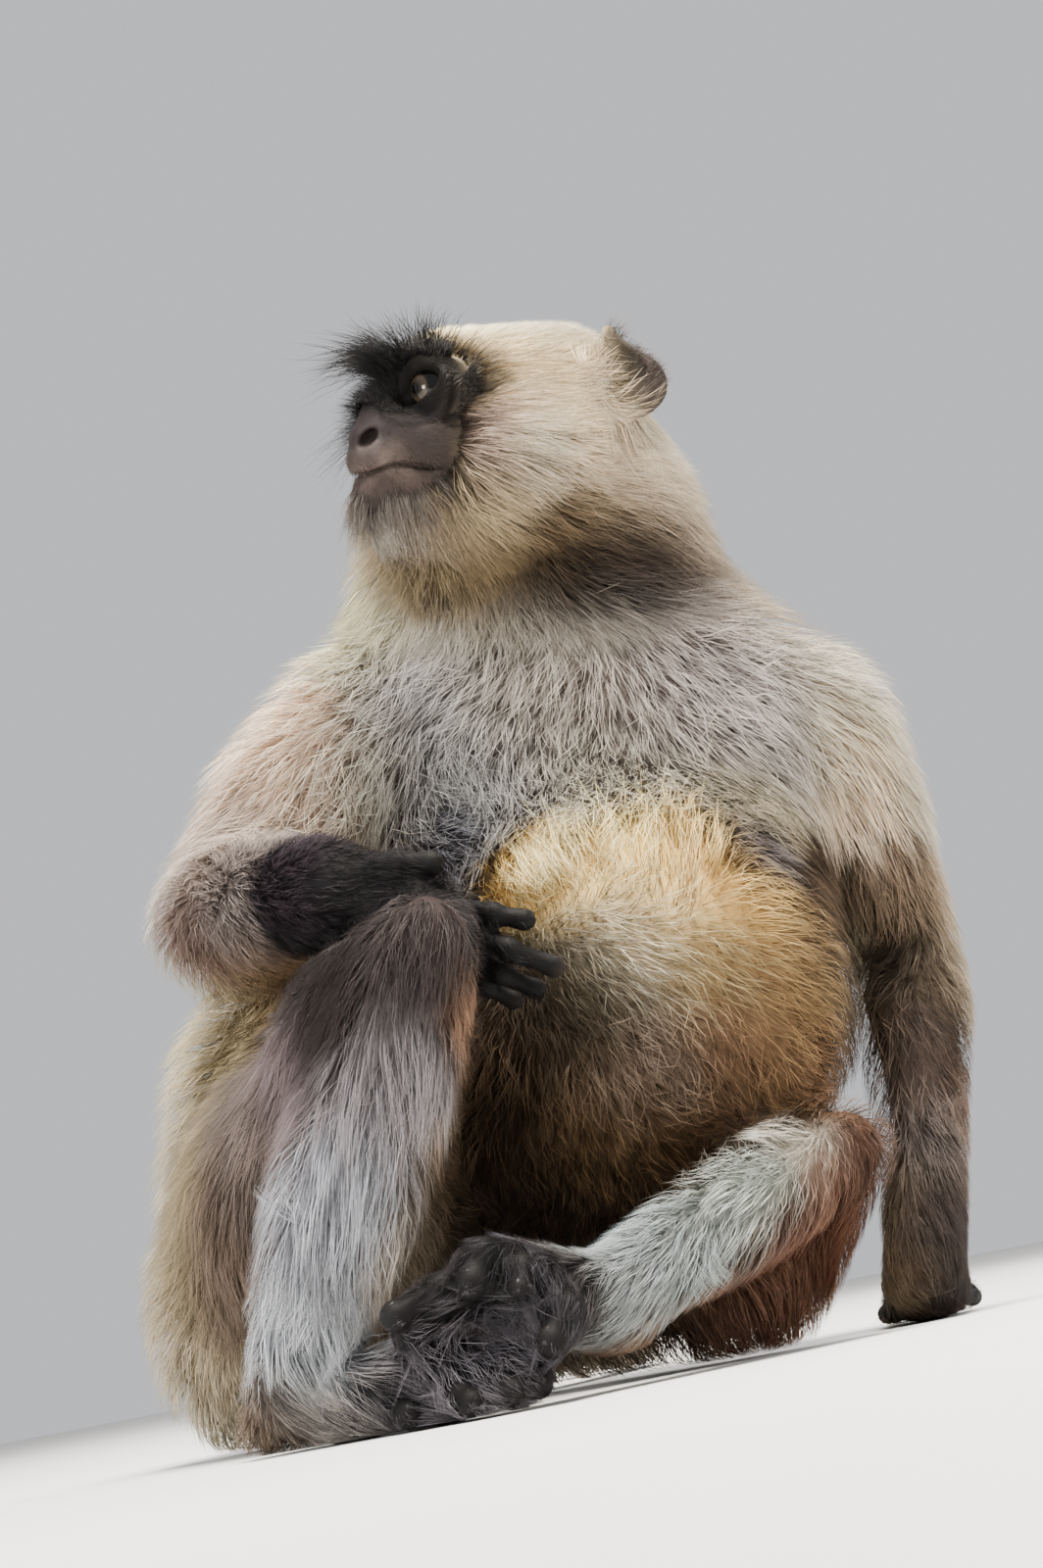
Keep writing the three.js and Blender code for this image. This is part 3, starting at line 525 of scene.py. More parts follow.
    ("arm_right", at(-68, -110, 205), 14, (0.5, -0.4, -0.8), 30, 0.7, 0.6, 1.2, "4f3c33", "8a7260"),
    ("arm_right", at(-40, -156, 234), 13, (0.85, -0.5, -0.1), 24, 0.6, 0.45, 1.5, "130e11", "42363f"),
    # black between the forearm and the knee: painted shade
    ("arm_right", at(-30, -130, 208), 15, (0.8, -0.4, -0.5), 26, 0.6, 0.5, 1.4, "060505", "141010"),
    ("arm_right", at(-50, -90, 200), 14, (0.6, -0.2, -0.8), 30, 0.7, 0.6, 1.0, "7e6444", "ba9a6e"),
    ("arm_right", at(-110, -40, 200), 18, (-0.2, 0, -1), 34, 0.7, 0.7, 0.9, "90806a", "cdc0a4"),
    # left arm
    ("arm_left", at(215, -54, 288), 18, (0.6, 0, -0.8), 40, 0.8, 0.6, 1.2, "ac9b84", "f7f4d9"),
    ("arm_left", at(222, -10, 300), 22, (0.7, 0.2, -0.8), 44, 0.8, 0.75, 0.9, "9a8f7c", "efe8d6"),
    ("arm_left", at(225, -49, 253), 16, (0.15, -0.05, -1), 38, 0.8, 0.6, 1.2, "ddba8d", "f7f0e4"),
    ("arm_left", at(245, -10, 250), 18, (0.3, 0.1, -1), 40, 0.7, 0.7, 1.0, "9a8f7c", "ece5d4"),
    ("arm_left", at(240, -30, 210), 15, (0.1, 0, -1), 34, 0.7, 0.6, 1.2, "74604f", "b69c82"),
    ("arm_left", at(230, 25, 210), 20, (0.1, 0.2, -1), 38, 0.7, 0.8, 0.8, "8a7d68", "cdc2a8"),
    ("arm_left", at(232, -20, 172), 12, (-0.5, 0, -0.8), 24, 1.1, 0.55, 1.3, "080302", "1e0e09"),
    ("arm_left", at(250, 0, 165), 14, (0.2, 0, -1), 28, 0.7, 0.6, 1.1, "7a6a58", "c0b096"),
    ("arm_left", at(219, -38, 130), 13, (0.35, -0.1, -0.9), 30, 0.7, 0.5, 1.3, "3d3431", "80716a"),
    ("arm_left", at(219, -36, 95), 13, (0.45, -0.1, -0.85), 28, 0.7, 0.5, 1.3, "4c4543", "9a8f8a"),
    ("arm_left", at(240, -15, 100), 14, (0.35, 0, -0.9), 28, 0.7, 0.55, 1.2, "4c3b32", "8d7465"),
    ("arm_left", at(225, 15, 90), 16, (0, 0.2, -1), 26, 0.7, 0.65, 0.9, "7a6c5c", "b5a68e"),
    ("arm_left", at(212, -48, 54), 15, (0.35, -0.1, -0.9), 26, 0.6, 0.5, 1.4, "151214", "554b4c"),
    ("arm_left", at(222, -24, 34), 17, (0.35, 0.1, -0.9), 28, 0.6, 0.5, 1.5, "0d0b0b", "2c2424"),
    # right leg: one fall of silky hair from the knee to the floor
    # near black at the top of the knee: painted shade
    ("leg_right", at(22, -236, 190), 13, (-0.35, -0.3, -0.85), 30, 0.6, 0.55, 1.3, "2a211f", "504846"),
    ("leg_right", at(-15, -205, 188), 16, (-0.6, -0.3, -0.75), 36, 0.6, 0.6, 1.2, "19120f", "2f2624"),
    ("leg_right", at(41, -220, 168), 9, (0.1, -0.3, -0.95), 24, 0.8, 0.45, 1.4, "5a4031", "a28066"),
    ("leg_right", at(26, -228, 120), 10, (-0.05, -0.2, -1), 28, 0.6, 0.5, 1.3, "7a6656", "bba894"),
    ("leg_right", at(3, -242, 150), 13, (-0.3, -0.15, -0.95), 44, 0.6, 0.55, 1.3, "6c6567", "b2aeb1"),
    ("leg_right", at(-26, -240, 103), 14, (-0.2, -0.1, -1), 48, 0.6, 0.55, 1.3, "84848a", "c9ced6"),
    ("leg_right", at(-48, -224, 45), 13, (0.05, -0.1, -1), 38, 0.6, 0.55, 1.3, "8d9196", "d4d9dd"),
    ("leg_right", at(0, -225, 80), 12, (0.1, -0.15, -1), 38, 0.6, 0.55, 1.3, "95877b", "e2d7c8"),
    ("leg_right", at(-50, -200, 165), 16, (-0.6, -0.2, -0.8), 42, 0.6, 0.6, 1.2, "5c4e4d", "918382"),
    ("leg_right", at(-74, -165, 125), 18, (-0.3, -0.15, -0.95), 50, 0.6, 0.6, 1.2, "51463f", "8b7d75"),
    ("leg_right", at(-90, -130, 90), 20, (-0.1, -0.1, -1), 50, 0.6, 0.6, 1.2, "54453a", "8a7768"),
    ("leg_right", at(-95, -140, 35), 20, (0.15, -0.1, -1), 42, 0.6, 0.6, 1.2, "665039", "a88a66"),
    ("leg_right", at(-85, -75, 130), 22, (-0.2, -0.1, -1), 44, 0.6, 0.7, 1.0, "73664a", "a39577"),
    ("leg_right", at(-80, -190, 10), 12, (-0.3, -0.2, -0.9), 16, 0.6, 0.5, 1.3, "43382f", "94806c"),
    ("leg_right", at(20, -170, 100), 20, (0.2, 0.2, -1), 32, 0.6, 0.7, 0.8, "4d4034", "81705c"),
    ("leg_right", at(-30, -120, 60), 24, (0.2, 0.1, -1), 32, 0.6, 0.8, 0.6, "54483b", "8d7d68"),
    # left leg: pale above the shin, warm brown under it
    ("leg_left", at(170, -132, 76), 9, (-0.3, -0.3, -0.9), 30, 0.5, 0.5, 1.3, "5b3a2b", "8f6b55"),
    ("leg_left", at(190, -121, 88), 15, (0.1, -0.4, -0.6), 22, 0.5, 0.5, 1.3, "3e281e", "644a3b"),
    ("leg_left", at(158, -124, 88), 10, (-0.7, -0.4, -0.1), 28, 0.5, 0.55, 1.3, "a8a294", "e2ddd0"),
    ("leg_left", at(135, -150, 82), 14, (-0.75, -0.45, -0.35), 32, 0.5, 0.55, 1.3, "939d92", "e3e8e2"),
    ("leg_left", at(106, -178, 64), 14, (-0.6, -0.4, -0.6), 32, 0.5, 0.55, 1.3, "777b77", "c7d5d5"),
    ("leg_left", at(80, -200, 50), 13, (-0.55, -0.4, -0.6), 28, 0.5, 0.55, 1.3, "7e7f7d", "d2ddde"),
    ("leg_left", at(150, -140, 54), 11, (-0.4, -0.3, -0.9), 38, 0.5, 0.55, 1.3, "4a2c1f", "7a5645"),
    ("leg_left", at(118, -160, 28), 12, (-0.5, -0.2, -0.8), 34, 0.5, 0.55, 1.3, "5a3d30", "9a745f"),
    ("leg_left", at(85, -185, 14), 12, (-0.7, -0.2, -0.5), 24, 0.5, 0.55, 1.3, "5b4333", "96795f"),
    ("leg_left", at(180, -90, 50), 16, (0.0, -0.1, -1), 38, 0.5, 0.6, 1.2, "371c11", "62402d"),
    ("leg_left", at(140, -70, 20), 24, (0.0, -0.3, -0.9), 28, 0.5, 0.65, 1.0, "593b2d", "916b56"),
    ("leg_left", at(170, -20, 40), 30, (0.3, 0.1, -1), 38, 0.5, 0.8, 0.7, "6f5a44", "a4906f"),
    # hands and feet
    ("hands", at(-10, -168, 228), 13, (0.9, -0.3, -0.2), 22, 0.8, 0.45, 1.5, "0b090a", "2b2528"),
    ("hands", at(22, -182, 216), 12, (0.85, -0.3, -0.35), 15, 0.7, 0.4, 1.4, "0b090a", "241f21"),
    ("hands", at(48, -187, 186), 14, (0.7, -0.2, -0.6), 8, 0.4, 0.32, 1.1, "0a0909", "1c181a"),
    ("hands", at(208, -38, 24), 14, (0.25, -0.5, -0.8), 32, 1.6, 0.45, 1.7, "0b090a", "3a3335"),
    ("hands", at(194, -22, 18), 12, (-0.3, -0.3, -0.9), 26, 1.4, 0.45, 1.6, "0b090a", "2e282a"),
    ("hands", at(228, -12, 20), 12, (0.5, -0.3, -0.8), 30, 1.6, 0.45, 1.7, "0b090a", "3c3436"),
    ("hands", at(208, 12, 16), 14, (0.1, 0.8, -0.3), 22, 1.0, 0.42, 1.4, "0c0a0b", "2a2527"),
    ("hands", at(205, 42, 10), 22, (0, 0.9, -0.1), 8, 0.4, 0.34, 0.8, "0c0a0b", "1e1a1c"),
    ("feet", at(-56, -210, 22), 11, (0.6, -0.5, -0.7), 28, 0.7, 0.45, 1.5, "4a4340", "c4bdb4"),
    ("feet", at(-36, -222, 30), 10, (0.7, -0.3, -0.8), 30, 1.0, 0.42, 1.7, "191517", "8a8386"),
    ("feet", at(-14, -232, 30), 11, (0.5, -0.3, -0.9), 32, 1.4, 0.42, 1.8, "0b090b", "918b92"),
    ("feet", at(8, -238, 28), 11, (0.2, -0.4, -0.9), 32, 1.5, 0.42, 1.9, "0b090b", "a7a1a8"),
    ("feet", at(20, -243, 12), 9, (0.5, -0.4, -0.7), 24, 1.1, 0.4, 1.8, "0e0c0e", "6c676c"),
    ("feet", at(34, -244, 12), 7, (0.7, -0.5, -0.5), 11, 0.5, 0.36, 1.3, "0c0b0c", "2e2a2d"),
    ("feet", at(62, -214, 48), 10, (-0.5, -0.6, -0.5), 28, 0.9, 0.42, 1.7, "120f10", "7b7472"),
    ("feet", at(46, -230, 54), 11, (-0.2, -0.6, -0.8), 32, 1.4, 0.42, 1.9, "0a090b", "58545a"),
    ("feet", at(36, -238, 62), 9, (0.1, -0.6, -0.7), 28, 1.2, 0.4, 1.8, "0a090b", "4f4b52"),
    ("feet", at(20, -236, 66), 9, (-0.6, -0.5, 0.1), 16, 0.7, 0.38, 1.6, "0c0b0c", "3a3539"),
    ("feet", at(-6, -242, 52), 11, (-0.7, -0.5, -0.2), 13, 0.6, 0.36, 1.5, "0c0b0c", "353034"),
    # tail
    ("tail", at(25, 90, 24), 40, (0.3, 0.9, -0.1), 18, 0.6, 0.7, 1.0, "716554", "a89b82"),
    ("tail", at(68, 210, 18), 60, (0.05, 1, 0), 16, 0.6, 0.7, 1.0, "665b4d", "998c76"),
    ("tail", at(10, 330, 14), 50, (-1, 0.2, 0), 16, 0.6, 0.7, 1.0, "665b4d", "998c76"),
    ("tail", at(-110, 290, 13), 50, (-0.5, -0.85, 0), 16, 0.6, 0.7, 1.0, "665b4d", "998c76"),
    ("tail", at(-112, 190, 12), 50, (0.2, -0.95, 0), 18, 0.7, 0.7, 1.0, "6d6152", "a99c84"),
]
coat_places = [(c[1], c[2]) for c in COAT]
coat_root = np.array([colour(c[8]) for c in COAT], np.float32)
coat_tip = np.array([colour(c[9]) for c in COAT], np.float32)

# The bare skin: place in the head's frame, reach, colour, and 1 where it is bare or 0 where fur grows.
FACE = [
    ((80, -6, 0), 7, "423938", 1), ((74, 1, 4), 6, "3c3433", 1), ((66, -1, 12), 6, "3c3433", 1),
    ((75, -9, 9), 4, "665a57", 1), ((57, -5, 20), 7, "443a37", 1), ((48, -3, 27), 5, "3f3632", 1),
    ((50, -12, 24), 6, "3c3330", 1), ((62, -11, 17), 6, "50453f", 1), ((77, -14, 6), 5, "5c514c", 1),
    ((66, -17, 16), 4, "8a7970", 1), ((76, -20, 5), 5, "7d6c63", 1), ((62, -21, 17), 4, "75655c", 1),
    ((50, -19, 23), 5, "4f423c", 1), ((78, -25, 0), 4.5, "5a4e48", 1), ((66, -25, 15), 4.5, "52463f", 1),
    # black round the eyes and over the bridge of the nose: the face's own black skin, painted darker still
    # as shade in the hollows of the sockets
    ((69, 15, 2), 7, "080606", 1), ((63, 12, 9), 6, "080606", 1), ((57, 10, 12), 6, "060505", 1),
    ((61, 22, 4), 8, "050404", 1), ((53, 25, 14), 6, "030202", 1), ((58, 27, 0), 8, "090707", 1),
    ((55, 28, 12), 7, "090707", 1),
    ((50, 28, 23), 7, "0b0908", 1), ((42, 24, 30), 8, "080606", 1), ((50, 20, 24), 6, "0b0909", 1),
    ((56, 7, 18), 4.5, "191617", 1), ((51, 6, 25), 4.5, "1e1b1c", 1), ((46, 11, 29), 4.5, "1a1717", 1),
    ((42, 15, 33), 7, "0b0908", 1), ((43, 32, 27), 6, "080606", 1), ((57, 1, 18), 3.5, "1a1615", 1),
    ((49, 1, 27), 3.5, "1c1816", 1),
    # where the fur begins
    ((76, -33, 0), 6, "2b2421", 0), ((68, -32, 12), 6, "2b2421", 0), ((58, -32, 19), 6, "2b2421", 0),
    ((48, -29, 24), 6, "2b2421", 0), ((56, 37, 0), 6, "1c1610", 0), ((46, 39, 18), 6, "1c1610", 0),
    ((35, 34, 30), 6, "1c1610", 0), ((33, 20, 38), 5, "1a1512", 0), ((36, 6, 36), 5, "1c1614", 0),
    ((35, -9, 33), 5, "2a211b", 0), ((38, -22, 29), 6, "2a221c", 0), ((30, 44, 0), 16, "b3a385", 0),
    ((0, 20, 38), 22, "b3a385", 0), ((0, -20, 34), 22, "84765e", 0), ((50, -48, 0), 12, "3d332b", 0),
    ((20, -50, 10), 20, "3d332b", 0),
    # ears
    ((-31, 22, 50), 11, "161111", 1), ((-42, 30, 60), 10, "241d1c", 1), ((-32, 40, 50), 9, "120e0d", 1),
    ((-46, 10, 60), 8, "4d4340", 1), ((-14, 16, 38), 9, "a5967a", 0), ((-20, 34, 34), 9, "b3a385", 0),
]
face_places = [(np.array(f[0]) * MM, f[1]) for f in FACE]
face_hue = np.array([colour(f[2]) * (0.36 if f[3] else 1) for f in FACE], np.float32)
face_bare = np.array([f[3] for f in FACE], np.float32)


def in_parts(make, points, *more):
    """Work through many points a few thousand at a time."""
    return np.concatenate([make(p, *more) for p in np.array_split(points, len(points) // 20000 + 1)])


def bareness(points):
    """Skin colour and how bare the skin is, round the head."""
    local = (points - HEAD) @ HEAD_AXES.T
    local[:, 2] = np.abs(local[:, 2])
    w = sway(local.astype(np.float32), face_places, 0.7)
    near = np.linalg.norm(local - np.array([10, -4, 0]) * MM, axis=1)
    near = np.minimum(near, np.linalg.norm(local - EAR * MM, axis=1) + 50 * MM)
    on = np.clip((88 * MM - near) / (10 * MM), 0, 1) * (local[:, 1] > -70 * MM)
    return np.concatenate([w @ face_hue, (w @ face_bare)[:, None] * on[:, None], on[:, None]], 1)


# ---- the skin ----------------------------------------------------------------------------------
# Hide, head, hands and feet joined in one piece that stands for every node of flesh. Where it is bare
# it is dark and creased with fine wrinkles; under the coat it takes the colour of the hair's roots.


def pieces_together(parts):
    start = np.cumsum([0] + [len(c) for c, _ in parts[:-1]])
    return np.concatenate([c for c, _ in parts]), np.concatenate([f + n for (_, f), n in zip(parts, start)])


def mesh_of(name, corners, faces, hues=None):
    """A smooth mesh from corners and triangles, with a colour at each corner."""
    mesh = bpy.data.meshes.new(name)
    mesh.vertices.add(len(corners))
    mesh.vertices.foreach_set("co", np.ascontiguousarray(corners, np.float32).ravel())
    mesh.loops.add(len(faces) * 3)
    mesh.loops.foreach_set("vertex_index", np.ascontiguousarray(faces, np.int32).ravel())
    mesh.polygons.add(len(faces))
    mesh.polygons.foreach_set("loop_start", np.arange(len(faces), dtype=np.int32) * 3)
    mesh.polygons.foreach_set("use_smooth", np.ones(len(faces), bool))
    mesh.update(calc_edges=True)
    if hues is not None:
        paint = mesh.color_attributes.new("hue", "FLOAT_COLOR", "POINT")
        rgba = np.concatenate([hues, np.ones((len(hues), 1))], 1).astype(np.float32)
        paint.data.foreach_set("color", rgba.ravel())
    piece = bpy.data.objects.new(name, mesh)
    bpy.context.scene.collection.objects.link(piece)
    return piece


def new_material(name, **sockets):
    """A material with its plain values on the shader's own sockets."""
    material = bpy.data.materials.new(name)
    material.use_nodes = True
    shader = material.node_tree.nodes["Principled BSDF"]
    for socket, value in sockets.items():
        shader.inputs[socket.replace("_", " ")].default_value = value
    return material, shader, material.node_tree


def node(tree, kind, links=(), **settings):
    made = tree.nodes.new(kind)
    for key, value in settings.items():
        if key in made.inputs:
            made.inputs[key].default_value = value
        else:
            setattr(made, key, value)
    for socket, source in links:
        tree.links.new(source, made.inputs[socket])
    return made


def mottled_hue(tree, shader, scale, detail, darkest, lightest):
    """The colour painted on the mesh, mottled by a noise. Returns the place and the noise for the bumps."""
    place = node(tree, "ShaderNodeTexCoord").outputs["Object"]
    hue = node(tree, "ShaderNodeAttribute", attribute_name="hue").outputs["Color"]
    mottle = node(tree, "ShaderNodeTexNoise", [("Vector", place)], Scale=scale, Detail=detail).outputs["Fac"]
    tone = node(tree, "ShaderNodeMapRange", [("Value", mottle)])
    tone.inputs["To Min"].default_value = darkest
    tone.inputs["To Max"].default_value = lightest
    mix = [(0, hue), (1, tone.outputs["Result"])]
    tint = node(tree, "ShaderNodeVectorMath", mix, operation="MULTIPLY")
    tree.links.new(tint.outputs["Vector"], shader.inputs["Base Color"])
    return place, mottle


def bumped(tree, height, strength, distance, under=()):
    """A bump over the one under it, if there is one."""
    links = [("Height", height)] + [("Normal", bump) for bump in under]
    return node(tree, "ShaderNodeBump", links, Strength=strength, Distance=distance).outputs["Normal"]


skin_corners, skin_faces = pieces_together(hide_pieces)
skin_corners[:, 2] = np.maximum(skin_corners[:, 2], 0.3 * MM)
skin_weight = in_parts(sway, skin_corners, coat_places)
skin_hue = skin_weight @ (coat_root * 0.8)
look = in_parts(bareness, skin_corners)
skin_hue = skin_hue * (1 - look[:, 4:5]) + look[:, :3] * look[:, 4:5]
dark_ends = np.zeros(len(skin_corners), np.float32)  # bare skin of the hands and feet
for seat in nail_seats:
    reach = np.linalg.norm(skin_corners - np.array(seat[1]) * MM, axis=1)
    dark_ends = np.maximum(dark_ends, np.clip((34 * MM - reach) / (14 * MM), 0, 1))
skin_hue = skin_hue * (1 - dark_ends[:, None]) + colour("0b0a0a") * dark_ends[:, None]
local = (skin_corners - HEAD) @ HEAD_AXES.T / MM
local[:, 2] = np.abs(local[:, 2])
# painted shade along the seam of the closed lips: the skin is darkened in a narrow band there
lip_seam_shade = np.exp(-(((local[:, 1] - mouth_line(local[:, 0])) / 1.3) ** 2))
lip_seam_shade = lip_seam_shade * (local[:, 0] > 44) * (look[:, 4] > 0.5)
skin_hue = skin_hue * (1 - 0.85 * lip_seam_shade[:, None])
skin = mesh_of("skin", skin_corners, skin_faces, skin_hue)
# how far out from the almond of each eye the skin lies, and how wrinkled it is there
local = (local - EYE) @ np.array([GAZE, LID_LONG, LID_HIGH]).T
almond = np.sqrt(((local[:, 1] - 1.2) / 1.2) ** 2 + ((local[:, 2] - 0.8) / 0.9) ** 2)
creased = (local[:, 0] > -2) * np.clip((16.5 - almond) / 3, 0, 1) * np.clip(0.6 - local[:, 2] / 8, 0.25, 1)
lid = skin.data.color_attributes.new("lid", "FLOAT_COLOR", "POINT")
none = np.zeros_like(almond)
lid.data.foreach_set("color", np.stack([almond / 20, creased, none, none + 1], 1).astype(np.float32).ravel())
skin_finish, shader, tree = new_material("skin_finish", Roughness=0.62, Specular_IOR_Level=0.09)
shader.inputs["Subsurface Weight"].default_value = 0.06
shader.inputs["Subsurface Scale"].default_value = 0.003
place, blotch = mottled_hue(tree, shader, 160.0, 5.0, 0.62, 1.4)
crease = node(tree, "ShaderNodeTexVoronoi", [("Vector", place)], feature="DISTANCE_TO_EDGE", Scale=900.0)
pore = node(tree, "ShaderNodeTexNoise", [("Vector", place)], Scale=1500.0, Detail=3.0)
bump = bumped(tree, crease.outputs["Distance"], 0.25, 0.0006)
bump = bumped(tree, pore.outputs["Fac"], 0.35, 0.0004, [bump])
# round the eyes it is drawn in rings of wrinkles, which a slow noise bends
on_lid = node(tree, "ShaderNodeAttribute", attribute_name="lid").outputs["Color"]
on_lid = node(tree, "ShaderNodeSeparateColor", [("Color", on_lid)])
bend = node(tree, "ShaderNodeTexNoise", [("Vector", place)], Scale=260.0, Detail=2.0)
turn = node(tree, "ShaderNodeMath", [(0, bend.outputs["Fac"])], operation="MULTIPLY")
turn.inputs[1].default_value = 11.0
phase = [(0, on_lid.outputs["Red"]), (2, turn.outputs["Value"])]
phase = node(tree, "ShaderNodeMath", phase, operation="MULTIPLY_ADD")
phase.inputs[1].default_value = 150.0
wave = node(tree, "ShaderNodeMath", [(0, phase.outputs["Value"])], operation="SINE")
height = [(0, wave.outputs["Value"]), (1, on_lid.outputs["Green"])]
height = node(tree, "ShaderNodeMath", height, operation="MULTIPLY")
bump = bumped(tree, height.outputs["Value"], 0.7, 0.0004, [bump])
tree.links.new(bump, shader.inputs["Normal"])
skin.data.materials.append(skin_finish)
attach(skin, "root")
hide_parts(*FLESH)

# ---- eyes --------------------------------------------------------------------------------------
# Wet eyeballs of an adult langur: amber-brown iris, dark pupil, brown-black white, clear cornea that
# bulges. Each is one ball whose rings run round the line of gaze; the iris's amber is painted on its lower
# half only, the upper half left dark as painted shade under the lid.

for side, name in ((1, "eye_left"), (-1, "eye_right")):
    gaze = (GAZE * (1, 1, side)) @ HEAD_AXES
    if side < 0:
        gaze = gaze / np.linalg.norm(gaze)
    a = np.cross(gaze, UP)
    a /= np.linalg.norm(a)
    b = np.cross(gaze, a)
    rings, turns = 72, 64
    polar = np.linspace(0, math.pi, rings + 1)[1:-1]
    turn = np.arange(turns) * 2 * math.pi / turns
    bulge = 1 + 0.075 * np.clip(1 - (polar / math.radians(40)) ** 2, 0, 1) ** 0.8
    ring = np.stack([np.cos(polar) * bulge, np.sin(polar) * bulge], 1)
    ball_points = (ring[:, None, 0, None] * gaze + ring[:, None, 1, None] * (
        np.cos(turn)[None, :, None] * a + np.sin(turn)[None, :, None] * b)).reshape(-1, 3)
    ends = np.array([gaze * 1.075, -gaze])
    corners = on_head(*(EYE * (1, 1, side))) + EYE_RADIUS * MM * np.concatenate([ball_points, ends])
    r, t = np.meshgrid(np.arange(rings - 2), np.arange(turns), indexing="ij")
    q = [r * turns + t, (r + 1) * turns + t, (r + 1) * turns + (t + 1) % turns, r * turns + (t + 1) % turns]
    q = [x.ravel() for x in q]
    last, back_ring = len(ball_points), (rings - 2) * turns
    t = np.arange(turns)
    faces = np.concatenate([
        np.stack([q[0], q[1], q[2]], 1), np.stack([q[0], q[2], q[3]], 1),
        np.stack([np.full(turns, last), t, (t + 1) % turns], 1),
        np.stack([np.full(turns, last + 1), back_ring + (t + 1) % turns, back_ring + t], 1)])
    n = np.cross(corners[faces[:, 1]] - corners[faces[:, 0]], corners[faces[:, 2]] - corners[faces[:, 0]])
    if ((corners[faces[:, 0]] - corners.mean(0)) * n).sum() < 0:
        faces = faces[:, ::-1]
    angle = np.degrees(np.concatenate([np.repeat(polar, turns), [0, math.pi]]))
    low = np.concatenate([(ball_points @ UP) < 0.1, [True, True]])
    stops = [0, 10, 12, 20, 30, 36, 38.5, 60, 180]
    shades = "010101 010101 0e0b09 1f1a14 28221a 100d0b 040303 0a0808 0a0808".split()
    shades = [colour(c) for c in shades]
    hues = np.stack([np.interp(angle, stops, [c[k] for c in shades]) for k in range(3)], 1)
    # the amber of the iris only on its lower half: the upper half is left dark as painted shade under the
    # lid and brow
    golden = np.exp(-((angle - 26) / 9) ** 2) * low
    hues = hues * (1 + 0.6 * golden[:, None] * np.array([1.0, 0.95, 0.86]))
    eye = mesh_of("eyeball_" + name[4:], corners, faces, hues)
    wet, shader, tree = new_material(
        "wet_eye_" + name[4:], Roughness=0.55, Specular_IOR_Level=0.0,
        Coat_Weight=1.0, Coat_Roughness=0.03, Coat_IOR=1.36)
    mottled_hue(tree, shader, 1100.0, 3.0, 0.55, 1.45)
    eye.data.materials.append(wet)
    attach(eye, "root")
    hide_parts(name)

# ---- nails -------------------------------------------------------------------------------------
# Small dark curved plates on the backs of the twenty fingers and toes, sunk at their roots.

NAIL_SIDE = {  # the way the backs of the fingers or toes face
    "hand_right": (0.3, -0.6, 0.8), "hand_left": (0, 0, 1),
    "foot_right": (-0.1, -0.3, 1), "foot_left": (0, -0.4, 0.9),
}
nail_corners, nail_faces = [], []
for number, (name, joint, tip, thick) in enumerate(nail_seats):
    joint, tip = np.array(joint, float), np.array(tip, float)
    along = (tip - joint) / np.linalg.norm(tip - joint)
    back = np.array(NAIL_SIDE[name])
    back = back - along * (back @ along)
    back /= np.linalg.norm(back)
    wide = np.cross(along, back)
    u, v = np.meshgrid(np.linspace(-1, 1, 9), np.linspace(0, 1, 7), indexing="ij")
    half = thick * 0.5 * np.sqrt(np.clip(1 - (v * 2 - 1.0) ** 4 * 0.8, 0, 1))
    top = tip + along * ((v - 0.3) * thick * 1.1)[..., None] + wide * (u * half)[..., None] + back * (
        thick * (0.98 - 0.3 * u**2 - 0.5 * (v - 0.1) ** 2))[..., None]
    under = top - back * 0.7 + along * -0.3
    grid = np.arange(63).reshape(9, 7)
    quads = np.stack([grid[:-1, :-1], grid[1:, :-1], grid[1:, 1:], grid[:-1, 1:]], -1).reshape(-1, 4)
    rim = np.concatenate([grid[:, 0], grid[-1, 1:], grid[-2::-1, -1], grid[0, -2:0:-1]])
    sides = np.stack([rim, np.roll(rim, -1), np.roll(rim, -1) + 63, rim + 63], 1)
    quads = np.concatenate([quads, quads[:, ::-1] + 63, sides[:, ::-1]])
    tri = np.concatenate([quads[:, :3], quads[:, [0, 2, 3]]])
    c = np.concatenate([top.reshape(-1, 3), under.reshape(-1, 3)]) * MM
    n = np.cross(c[tri[:, 1]] - c[tri[:, 0]], c[tri[:, 2]] - c[tri[:, 0]])
    if ((c[tri].mean(1) - c.mean(0)) * n).sum() < 0:
        tri = tri[:, ::-1]
    nail_corners.append(c)
    nail_faces.append(tri + number * 126)
nails = mesh_of("nails", np.concatenate(nail_corners), np.concatenate(nail_faces))
horn, shader, tree = new_material("dark_horn", Roughness=0.5, Specular_IOR_Level=0.2)
place = node(tree, "ShaderNodeTexCoord").outputs["Object"]
grain = node(tree, "ShaderNodeTexNoise", [("Vector", place)], Scale=700.0, Detail=4.0)
ramp = node(tree, "ShaderNodeValToRGB", [("Fac", grain.outputs["Fac"])])
ramp.color_ramp.elements[0].color = (*colour("0b090a"), 1)
ramp.color_ramp.elements[1].color = (*colour("1e1a1b"), 1)
tree.links.new(ramp.outputs["Color"], shader.inputs["Base Color"])
tree.links.new(bumped(tree, grain.outputs["Fac"], 0.2, 0.0003), shader.inputs["Normal"])
nails.data.materials.append(horn)
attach(nails, "root")

# ---- the coat ----------------------------------------------------------------------------------
# Solid tapering hairs, three-sided and closed at both ends, rooted in the skin. Each sets out along the
# lie of the coat, rises to the outline and draws in to the tip of its lock's leading hair.

luck = np.random.default_rng(20)
ROOTS = 520000  # places where a hair may grow
FLAT_ON_FLOOR = 1.5 * MM  # nothing grows where the skin rests on the floor


